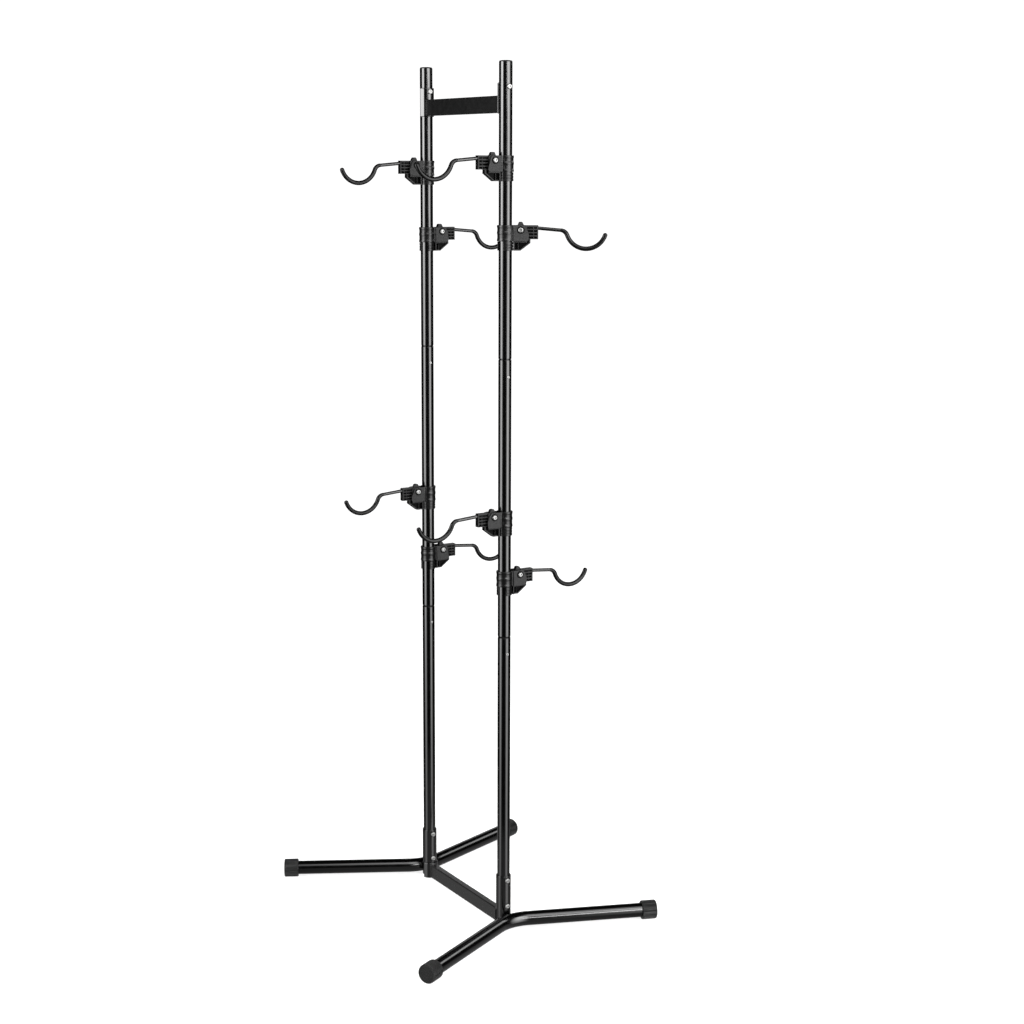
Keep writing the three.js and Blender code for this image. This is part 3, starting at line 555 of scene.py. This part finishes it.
def band(path, inner, outer, bottom, top, edge=0.8, grooves=()):
    """Upright strap: the outline of its section, with rounded edges, is carried along a level
    path. Inner and outer are its faces' distances from the path. Grooves, given as height, half
    width and depth, run along the outer face. At each end a quarter circle, over which the
    section shrinks, takes the place of two points of the path, so that the end is round."""
    outer_face = [(outer, bottom)]
    for height, width, depth in grooves:
        outer_face += [(outer, height - width), (outer - depth, height - width / 2),
                       (outer - depth, height + width / 2), (outer, height + width)]
    corners = [(inner, bottom), *outer_face, (outer, top), (inner, top)]
    radii = [edge * 0.5, edge, *[0.15] * (len(outer_face) - 1), edge, edge * 0.5]
    section = rounded(corners, radii, steps=4)
    middle = np.array([(inner + outer) / 2, (bottom + top) / 2])
    turn = np.linspace(0, np.pi / 2, 5)
    inset = edge * (1 - np.sin(turn))
    tangent = np.gradient(path, axis=0)
    tangent /= np.linalg.norm(tangent, axis=1, keepdims=True)
    advance = edge * (1 - np.cos(turn))[:, None]
    line = np.concatenate([path[0] + tangent[0] * advance, path[2:-2],
                           path[-1] - tangent[-1] * advance[::-1]])
    shrink = np.concatenate([inset, np.zeros(len(path) - 4), inset[::-1]])
    room = np.array([(outer - inner) / 2, (top - bottom) / 2])
    sections = middle + (section - middle)[None] * (1 - shrink[:, None, None] / room)
    tangent = np.gradient(line, axis=0)
    tangent /= np.linalg.norm(tangent, axis=1, keepdims=True)
    side = np.stack([tangent[:, 1], -tangent[:, 0], 0 * tangent[:, 0]], axis=-1)
    grid = line[:, None] + sections[..., :1] * side[:, None]
    grid[..., 2] = sections[..., 1]
    return grid


def level_arc(radius, start, stop, count):
    """Level arc about the Z axis, anticlockwise between two angles in degrees: x and y are the
    radius times cosine and sine of the angle."""
    angles = np.radians(np.linspace(start, stop, count))
    return radius * np.stack([np.cos(angles), np.sin(angles), 0 * angles], axis=-1)


def satin_paint(name, tone, specular, roughness):
    """Satin black powder paint with a fine even texture, in the given tone. A lighter tone paints
    in light.
    """
    material, tree, shader = finish(name, (tone, tone, tone), specular=specular)
    spread(tree, noise(tree, 80, 4), roughness, roughness + 0.08, shader.inputs["Roughness"])
    relief(tree, noise(tree, 700, 2), shader, depth=0.00004, strength=0.3)
    return material


def saddle(side, bore, wall, half_angle, bottom, top, edge):
    """Half-round saddle on the inward side of a pole. A flat is pressed into each wing: within
    its half width w of its middle, at angle f, the outer face lies at R cos(w) / cos(f)."""
    flat_middle, flat_half = 61, 14
    path = level_arc(bore, -90 * side - half_angle, -90 * side + half_angle, 83)
    grid = band(path, 0, wall, bottom, top, edge)
    radius = np.hypot(grid[..., 0], grid[..., 1])
    off_middle = np.degrees(np.arctan2(grid[..., 0], -side * grid[..., 1]))
    off_flat = np.radians(np.minimum(np.abs(np.abs(off_middle) - flat_middle), flat_half))
    pressed = radius * math.cos(math.radians(flat_half)) / np.cos(off_flat)
    share = np.where(radius > bore + wall / 2, pressed / radius, 1)[..., None]
    grid[..., :2] *= share
    return surface(grid + [0, side * POLE_SPACING / 2, 0])


def end_weld(side, face, width, bottom, height):
    """Fillet weld round a bar's end: a small round bead along the bar's outline, at the saddle.
    It lies on the saddle's outer face: y is short of the pole's by sqrt(face^2 - x^2)."""
    bead_radius = 1.3
    outline = bar_outline(width, bottom, height, steps=8)
    x, z = outline[:, 0], outline[:, 1]
    y = side * (POLE_SPACING / 2 - np.sqrt(face ** 2 - x ** 2))
    line = np.stack([x, y, z], axis=-1)
    out = np.stack([x / width, 0 * x, (z - bottom - height / 2) / height], axis=-1)
    out /= np.linalg.norm(out, axis=1, keepdims=True)
    section = circle(bead_radius, 10)
    grid = line[:, None] + section[None, :, :1] * out[:, None]
    grid[..., 1] += section[None, :, 1]
    return surface(grid, wrap=True)


def welded_bar(width, bottom, height, end, face):
    """Surfaces of a bar and of the weld at each end, where face is the saddle's outer radius."""
    return [surface(box_tube(width, bottom, height, end)),
            *[end_weld(side, face, width, bottom, height) for side in (-1, 1)]]


# The lower crossbar has the same satin paint as the upper one. Its lighter tone paints in light
# falling on it.
painted_light_satin = satin_paint("painted_light_satin_paint", tone=0.0052, specular=0.34, roughness=0.2)
satin = satin_paint("satin_black_paint", tone=0.0007, specular=0.22, roughness=0.4)
low_bar = welded_bar(width=18, bottom=5, height=36, end=175.2, face=22.2)
low_saddles = [saddle(side, bore=19.3, wall=3.0, half_angle=75, bottom=3.5, top=45, edge=1.4)
               for side in (-1, 1)]
high_bar = welded_bar(width=20, bottom=2029, height=40, end=177.5, face=19.9)
high_saddles = [saddle(side, bore=16.3, wall=3.7, half_angle=82, bottom=2027, top=2098, edge=1.8)
                for side in (-1, 1)]
make_piece("low_crossbar", low_bar, painted_light_satin, "frame", "painted_steel", "lower_crossbar")
make_piece("low_saddles", low_saddles, paint, "frame", "painted_steel", "lower_crossbar")
make_piece("high_crossbar", high_bar, satin, "frame", "painted_steel", "upper_crossbar")
make_piece("high_saddles", high_saddles, paint, "frame", "painted_steel", "upper_crossbar")


# Frame bolts. Zinc-plated M6 button heads with a hexagon socket: two through each sleeve and one
# through each upper saddle, all driven from the front. The near pole's upper saddle is behind it,
# so that bolt's head rests on the tube.
SLEEVE_SEAT, SADDLE_SEATS = 19.3, {-1: 16.3, 1: 20.3}
SLEEVE_BOLT_HEIGHTS, SADDLE_BOLT_HEIGHT = (58, 126), 2089
short_bolt, long_bolt = (bolt_head(radius=6.25, height=4, crown=2.2, socket=2.0, shank_radius=3,
                                   shank_length=length) for length in (10, 36))
for name, side in POLES:
    pole_y = side * POLE_SPACING / 2
    for level, height in zip(("lower", "upper"), SLEEVE_BOLT_HEIGHTS):
        bolt = facing_front(short_bolt, 0, pole_y - SLEEVE_SEAT, height)
        make_piece(f"{name}_sleeve_screw_{level}", [surface(bolt)], zinc, "frame", "zinc_bolt",
                   f"{name}_sleeve_bolt_{level}")
    bolt = facing_front(long_bolt, 0, pole_y - SADDLE_SEATS[side], SADDLE_BOLT_HEIGHT)
    make_piece(f"{name}_saddle_screw", [surface(bolt)], zinc, "frame", "zinc_bolt",
               f"{name}_crossbar_bolt")


# Stop rings. Split rings of black nylon, with two shallow grooves, grip the poles below the arms
# and set their heights. The eight arms are alike: each piece is worked out once, with the pole's
# axis at x = 0 and the collar's top at z = 0, and is then turned and lifted into place.
ARMS = (("near_left_upper", -1, 1930, 180), ("near_right_upper", -1, 1767, -30),
        ("near_left_lower", -1, 1075, 180), ("near_right_lower", -1, 925, 0),
        ("far_left_upper", 1, 1918, 180), ("far_right_upper", 1, 1751, 0),
        ("far_left_lower", 1, 1080, 180), ("far_right_lower", 1, 919, 0))


def set_on_pole(shape, side, height, heading):
    """Turns a surface by the heading h about the pole's axis, to x cos h - y sin h and
    x sin h + y cos h, and lifts it to the height."""
    points, faces = shape
    c, s = math.cos(math.radians(heading)), math.sin(math.radians(heading))
    x, y, z = points.T
    return np.stack([c * x - s * y, s * x + c * y + side * POLE_SPACING / 2, z + height],
                    axis=-1), faces


def bracket_nylon():
    """Black nylon. The attribute face_kind picks the finish: smooth at 0, as where it is
    missing, a coarse spark-eroded grain that scatters the light at 1, and painted shade at -1:
    a darker tone with little specular, for the pockets and round the bolts. The ramp holds
    roughness, specular level and tone in its three channels."""
    material, tree, shader = finish("black_bracket_nylon", (0.0018, 0.0018, 0.0018))
    kind = tree.nodes.new("ShaderNodeAttribute")
    kind.attribute_name = "face_kind"
    place = tree.nodes.new("ShaderNodeMapRange")
    place.inputs["From Min"].default_value = -1
    tree.links.new(kind.outputs["Fac"], place.inputs["Value"])
    ramp = tree.nodes.new("ShaderNodeValToRGB")
    stops = ramp.color_ramp.elements
    stops.new(0.5)
    # The first stop is painted shade: a darker tone and little specular stand in for the shade in
    # pockets.
    painted_pocket_shade, smooth, coarse = (0.5, 0.02, 0.0015), (0.22, 0.24, 0.0018), (0.55, 0.06, 0.0148)
    for i, values in enumerate((painted_pocket_shade, smooth, coarse)):
        stops[i].color = (*values, 1)
    tree.links.new(place.outputs["Result"], ramp.inputs["Fac"])
    split = tree.nodes.new("ShaderNodeSeparateColor")
    tree.links.new(ramp.outputs["Color"], split.inputs["Color"])
    tree.links.new(split.outputs["Green"], shader.inputs["Specular IOR Level"])
    for output, socket, operation, grain, low, high in (
            ("Red", "Roughness", "ADD", 700, 0.0, 0.08),
            ("Blue", "Base Color", "MULTIPLY", 330, 0.75, 1.25)):
        varied = tree.nodes.new("ShaderNodeMath")
        varied.operation = operation
        tree.links.new(split.outputs[output], varied.inputs[0])
        spread(tree, noise(tree, grain, 3), low, high, varied.inputs[1])
        tree.links.new(varied.outputs["Value"], shader.inputs[socket])
    relief(tree, noise(tree, 1300, 2), shader, depth=0.00006, strength=0.15)
    return material


nylon = bracket_nylon()
ring_path = level_arc(radius=16.3, start=-105, stop=186, count=97)
stop_ring = surface(band(ring_path, inner=0, outer=2.7, bottom=-60, top=-38.9,
                         grooves=((-53.0, 1.2, 0.8), (-46.5, 1.2, 0.8))))
for arm, side, height, heading in ARMS:
    make_piece(f"{arm}_split_ring", [set_on_pole(stop_ring, side, height, heading)], nylon,
               f"{arm}_ring", "bracket_plastic", f"{arm}_stop_ring")


# Collars. A nylon strap goes round the pole and ends in two cheeks that hold the arm between
# them. Two shallow hollows run round it, and a low boss stands round the bolt on each cheek.
COLLAR_HEIGHT, COLLAR_RADIUS = 38, 18.15
CHEEK_MIDDLE, CHEEK_WALL, CHEEK_ROOT = 12.875, 3.75, 12.8
BOSS_BORE, BOSS_RADIUS, BOSS_FOOT, BOSS_TOP = 7.0, 8.8, 14.3, 16.2
PIVOT_REACH, PIVOT_DROP = 36.7, 11


def cheek_reach(z):
    """Front edge of the cheeks at height z: the front, less setback ((z + u) / u)^1.6 in the
    upper u mm and r - sqrt(r^2 - (r - d)^2) within d < r of the bottom."""
    front, setback, upper, radius = 55.5, 10.5, 22, 7.0
    line = front - setback * np.clip((z + upper) / upper, 0, 1) ** 1.6
    inside = np.clip(radius - (z + COLLAR_HEIGHT), 0, radius)
    return line - (radius - np.sqrt(radius ** 2 - inside ** 2))


def collar_shell():
    """The strap of the collar and its face kinds. Its path is a line, an arc and a line in
    plan. Two shallow hollows run round the arc; the cheeks' outer faces are brought back flush,
    with an upright groove 2.2 mm deep at their root and coarse faces beyond it. Then x is
    stretched along the cheeks so that they end at their front edge for each height."""
    strap_end, panel_start, root_bend, groove_depth = 58.0, 20, 1.6, 2.2
    arc = level_arc(COLLAR_RADIUS, start=52, stop=308, count=65)
    run = np.array([strap_end, *range(panel_start + 1, 13, -1), CHEEK_ROOT])[:, None]
    cheek = run * [1, 0, 0] + [0, CHEEK_MIDDLE, 0]
    straight = [0] * (len(run) - 1)
    path = rounded(np.concatenate([cheek, arc, cheek[::-1] * [1, -1, 1]]),
                   [*straight, root_bend, *[0] * len(arc), root_bend, *straight],
                   steps=5, closed=False)
    from_end = np.array([[0, 0, 0], [2, 0, 0], [4, 0, 0]])
    path = np.concatenate([path[0] - from_end, path[1:-1], path[-1] - from_end[::-1]])
    half = CHEEK_WALL / 2
    grid = band(path, -half, half, -COLLAR_HEIGHT, 0,
                grooves=((-27.0, 7.5, 0.8), (-10.5, 6.0, 0.8)))
    x, y, z = (grid[..., i] for i in range(3))
    flush = (x > CHEEK_ROOT) & (np.abs(y) > CHEEK_MIDDLE) & (z < -1) & (z > 1 - COLLAR_HEIGHT)
    grid[..., 1] = np.where(flush, np.sign(y) * (CHEEK_MIDDLE + half), y)
    coarse = (x >= panel_start) & (np.abs(y) > CHEEK_MIDDLE + half - 0.01)
    groove = np.interp(x, (13.4, 15.6, 18.4, panel_start), (0, groove_depth, groove_depth, 0))
    grid[..., 1] -= np.where(np.abs(y) > CHEEK_MIDDLE, np.sign(y) * groove, 0)
    stretch = (cheek_reach(z) - CHEEK_ROOT) / (strap_end - CHEEK_ROOT)
    grid[..., 0] = np.where(x > CHEEK_ROOT, CHEEK_ROOT + (x - CHEEK_ROOT) * stretch, x)
    return surface(grid), coarse.ravel().astype(float)


def across_arm(grid, x, z, flip):
    """Turns a grid that points along +Z so that it points along Y, towards flip, at x and z."""
    return np.stack([grid[..., 0] + x, flip * grid[..., 2], grid[..., 1] + z], axis=-1)


boss_wall = rounded([(BOSS_BORE, BOSS_FOOT), (BOSS_RADIUS, BOSS_FOOT),
                     (BOSS_RADIUS - 0.2, BOSS_TOP), (BOSS_BORE + 0.2, BOSS_TOP)],
                    [0, 0, 0.5, 0.4])
bosses = [surface(across_arm(turned(boss_wall, 56), PIVOT_REACH, -PIVOT_DROP, flip), wrap=True)
          for flip in (-1, 1)]
collar, strap_kinds = collar_shell()
# The bosses take kind -1, painted shade round each bolt head.
collar_kinds = np.concatenate([strap_kinds, *[-np.ones(len(points)) for points, _ in bosses]])
for arm, side, height, heading in ARMS:
    pieces = [set_on_pole(s, side, height, heading) for s in (collar, *bosses)]
    make_piece(f"{arm}_collar_strap", pieces, nylon, f"{arm}_collar", "bracket_plastic",
               f"{arm}_clamp_collar", kinds=collar_kinds)


# Pivot bolts. Each is a zinc-plated M8 steel bolt through the cheeks and the hub, with a button
# head at one end and a domed nut of the same shape at the other.
PIVOT_SEAT = 15.05
pivot_head = bolt_head(radius=6.2, height=4, crown=2.4, socket=2.3, shank_radius=4,
                       shank_length=15.3) + [0, 0, PIVOT_SEAT]
pivot_halves = [surface(across_arm(pivot_head, PIVOT_REACH, -PIVOT_DROP, flip))
                for flip in (-1, 1)]
for arm, side, height, heading in ARMS:
    pieces = [set_on_pole(s, side, height, heading) for s in pivot_halves]
    make_piece(f"{arm}_pivot_pin", pieces, zinc, f"{arm}_collar", "zinc_bolt",
               f"{arm}_pivot_bolt")


# Arm brackets. One nylon moulding each: a hub with a lug above it, a block with open ribs that
# grips the rod, and a toe below that bears on the stop ring. The ribs stand on a middle web.
def moulding(outline, half_width, radii=0.8, edge=0.5):
    """Plate with a closed outline in x and z and rounded corners, from -half_width to half_width
    in y. Its edges are rounded: at turn t the outline is drawn in by edge (1 - cos t), along
    its normals, while y is edge (1 - sin t) short of the face."""
    line = rounded(outline, radii, steps=5)
    tangent = np.roll(line, -1, axis=0) - np.roll(line, 1, axis=0)
    tangent /= np.linalg.norm(tangent, axis=1, keepdims=True)
    inward = np.stack([-tangent[:, 1], tangent[:, 0]], axis=-1)
    x, z = line[:, 0], line[:, 1]
    if (x * np.roll(z, -1) - np.roll(x, -1) * z).sum() < 0:
        inward = -inward
    turn = np.linspace(0, np.pi / 2, 4)
    drawn_in = np.concatenate([edge * (1 - np.cos(turn[::-1])), edge * (1 - np.cos(turn))])
    level = half_width - edge * (1 - np.sin(turn))
    levels = np.concatenate([-level[::-1], level])
    plane = line[None] + drawn_in[:, None, None] * inward[None]
    return surface(np.stack([plane[..., 0], levels[:, None] + 0 * plane[..., 0],
                             plane[..., 1]], axis=-1))


def slab(x0, z0, x1, z1):
    """Corners of an upright rectangle in x and z."""
    return [(x0, z0), (x1, z0), (x1, z1), (x0, z1)]


HUB_HALF, LUG_HALF, BLOCK_HALF, SHEATH_HALF, WEB_HALF = 10.7, 5.2, 6.5, 4.9, 1.6
BACK, BLOCK_START, BLOCK_FACE, BLOCK_FLOOR, TOE_SOLE = 19.3, 49, 78.5, -33, -60
RIB_TOP, RIB_PITCH, RIB_HEIGHT = -8.5, 7.5, 3.1
pocket_parts = [
    # The middle web.
    moulding([(20, -59), (36, -59), (59.3, -41.6), (59.3, -32), (78, -32), (78, -0.6),
              (45, -0.6), (44, -9), (29, -9), (28.4, -0.6), (20, -9)], WEB_HALF),
    # The sheath round the rod.
    moulding(slab(49.5, -11.4, 78, -0.9), SHEATH_HALF),
]
outer_parts = [
    # The hub and its lug.
    moulding([(BACK, -41), (51.5, -41), (51.5, 0), (28, 0), (BACK, -8)],
             HUB_HALF, [0.6, 0.6, 0.6, 2, 1.5], 0.7),
    moulding([(28.2, -2), (45.5, -2), (40.6, 8), (32.4, 8)], LUG_HALF, [0.5, 0.5, 3.0, 3.0], 0.8),
    # The block's roof and floor, its three level ribs, its upright rib and its end plate.
    moulding(slab(BLOCK_START, -4.1, BLOCK_FACE - 0.1, -0.05), BLOCK_HALF - 0.05),
    moulding(slab(BLOCK_START, BLOCK_FLOOR, BLOCK_FACE - 0.1, -30.9), BLOCK_HALF - 0.05),
    *[moulding(slab(BLOCK_START, top - RIB_HEIGHT, 78, top), BLOCK_HALF - 0.25, 0.5)
      for top in (RIB_TOP, RIB_TOP - RIB_PITCH, RIB_TOP - 2 * RIB_PITCH)],
    moulding(slab(66.4, BLOCK_FLOOR + 0.1, 68.2, -0.1), BLOCK_HALF - 0.4, 0.4),
    moulding(slab(75.5, BLOCK_FLOOR, BLOCK_FACE, 0), BLOCK_HALF, 0.7),
    # The toe's front, slope, sole and back, and the rib inside it.
    moulding([(56, -44.9), (60, -42), (60, -33), (60, -31), (56, -31)], BLOCK_HALF - 0.5, 0.5),
    moulding([(36, TOE_SOLE), (60, -42), (60, -38.3), (36, -56.3)], BLOCK_HALF - 0.05, 0.5),
    moulding(slab(BACK, TOE_SOLE, 36.4, -57), BLOCK_HALF + 1, 0.6),
    moulding(slab(BACK + 0.05, TOE_SOLE + 0.1, 22.2, -38), HUB_HALF - 0.1, 0.5),
    moulding(slab(30.0, -58, 31.4, -38), BLOCK_HALF - 0.5, 0.4),
]


def side_faces(shape):
    """Face kinds of a moulding: 1 where a point lies as far out in y as any, and 0 elsewhere."""
    out = np.abs(shape[0][:, 1])
    return out > out.max() - 0.01


bracket_parts = pocket_parts + outer_parts
# The web and the sheath inside the block take kind -1, painted shade of the pockets.
bracket_kinds = np.concatenate([*[-np.ones(len(points)) for points, _ in pocket_parts],
                                *[side_faces(part) for part in outer_parts]])
for arm, side, height, heading in ARMS:
    pieces = [set_on_pole(s, side, height, heading) for s in bracket_parts]
    make_piece(f"{arm}_bracket_moulding", pieces, nylon, f"{arm}_arm", "bracket_plastic",
               f"{arm}_arm_bracket", kinds=bracket_kinds)


# Hook rods. Painted 8.5 mm steel rods leave the blocks with a slight droop, bend down and sweep
# up again in a wide hook. A thick soft vinyl sleeve covers each from just before the bend.
ROD_RADIUS, VINYL_RADIUS, ROD_BEND, HOOK_RADIUS = 4.25, 5.5, 18, 48
ROD_EXIT, ROD_DROP, DROOP, LEAN = 75.5, -6.8, math.radians(5), math.radians(20)
HOOK_REACH, HOOK_DEPTH, TIP_LENGTH, VINYL_LEAD, SOCKET_START = 193, -55.5, 6, 12, 60
VINYL_GAP, VINYL_LIP, VINYL_TAPER, TIP_ROUND = 0.15, 1.2, 24, 5


def hook_vinyl():
    """Soft black vinyl, smooth and slightly waxy, with faint runs from the dipping."""
    material, tree, shader = finish("black_hook_vinyl", (0.0014, 0.0014, 0.0014), specular=0.13)
    two_tone(tree, noise(tree, 60, 5), (0.001, 0.001, 0.001), (0.0018, 0.0018, 0.0018), shader)
    spread(tree, noise(tree, 250, 4), 0.18, 0.26, shader.inputs["Roughness"])
    runs = relief(tree, noise(tree, 110, 2), shader, depth=0.0003, strength=0.35)
    relief(tree, noise(tree, 1800, 2), shader, depth=0.00004, strength=0.4, below=runs)
    return material


def hook_path():
    """Centreline in the plane y = 0. The rod's line meets the line that rises from the hook's
    bottom corner; both corners are rounded, the second one by the hook's own radius."""
    exit_point = np.array([ROD_EXIT, 0, ROD_DROP])
    along = np.array([math.cos(DROOP), 0, -math.sin(DROOP)])
    up = np.array([math.sin(LEAN), 0, math.cos(LEAN)])
    valley = np.array([HOOK_REACH, 0, HOOK_RADIUS + HOOK_DEPTH - HOOK_RADIUS / math.sin(LEAN)])
    slope = along[2] / along[0]
    line_height = exit_point[2] + (HOOK_REACH - ROD_EXIT) * slope
    climb = (line_height - valley[2]) / (math.cos(LEAN) + math.sin(LEAN) * slope)
    bend = valley + climb * up * [-1, 1, 1]
    tip = valley + (HOOK_RADIUS / math.tan(LEAN) + TIP_LENGTH) * up
    socket = exit_point + along * (SOCKET_START - ROD_EXIT)
    path = rounded([socket, bend, valley, tip], [0, ROD_BEND, HOOK_RADIUS, 0], 48, closed=False)
    return path, np.linalg.norm(bend - socket)


def run_lengths(path):
    """Distance along a path from its start to each of its points."""
    return np.concatenate([[0], np.cumsum(np.linalg.norm(np.diff(path, axis=0), axis=1))])


def along_path(path, distances):
    """Points of a path at the given distances from its start, on straight lines between its
    own points."""
    lengths = run_lengths(path)
    return np.stack([np.interp(distances, lengths, path[:, i]) for i in range(3)], axis=-1)


def vinyl_stations(start, end):
    """Distances along the rod and radii of the vinyl. It starts with a lip whose edge is drawn in
    by 0.1 (1 - sin t), swells by s (2 - s) over the taper and ends in a round tip, r cos t."""
    quarter = np.linspace(0, np.pi / 2, 8)
    stations = np.concatenate([start + VINYL_LIP * (1 - np.cos(quarter)),
                               np.linspace(start + 2, end - TIP_ROUND - 1, 150),
                               end - TIP_ROUND + TIP_ROUND * np.sin(quarter)])
    swell = np.clip((stations - start) / VINYL_TAPER, 0, 1)
    thin = ROD_RADIUS + VINYL_GAP
    girth = thin + (VINYL_RADIUS - thin) * swell * (2 - swell)
    girth[:len(quarter)] -= 0.1 * (1 - np.sin(quarter))
    girth[-len(quarter):] *= np.cos(quarter * 0.97)
    return stations, girth


rod_paint = satin_paint("rod_paint", tone=0.0012, specular=0.34, roughness=0.22)
vinyl = hook_vinyl()
path, to_bend = hook_path()
vinyl_start = to_bend - VINYL_LEAD
steel_path = along_path(path, np.concatenate([[0], np.linspace(5, vinyl_start + 8, 12)]))
steel_rod = surface(carried(circle(ROD_RADIUS, 28), steel_path, (0, 1, 0)))
stations, girth = vinyl_stations(vinyl_start, run_lengths(path)[-1])
vinyl_sleeve = surface(carried(circle(1.0, 32), along_path(path, stations), (0, 1, 0), girth))
for arm, side, height, heading in ARMS:
    rod = set_on_pole(steel_rod, side, height, heading)
    sleeve = set_on_pole(vinyl_sleeve, side, height, heading)
    make_piece(f"{arm}_steel_rod", [rod], rod_paint, f"{arm}_arm", "painted_steel",
               f"{arm}_hook_rod")
    make_piece(f"{arm}_vinyl_sleeve", [sleeve], vinyl, f"{arm}_arm", "hook_vinyl",
               f"{arm}_hook_rod")
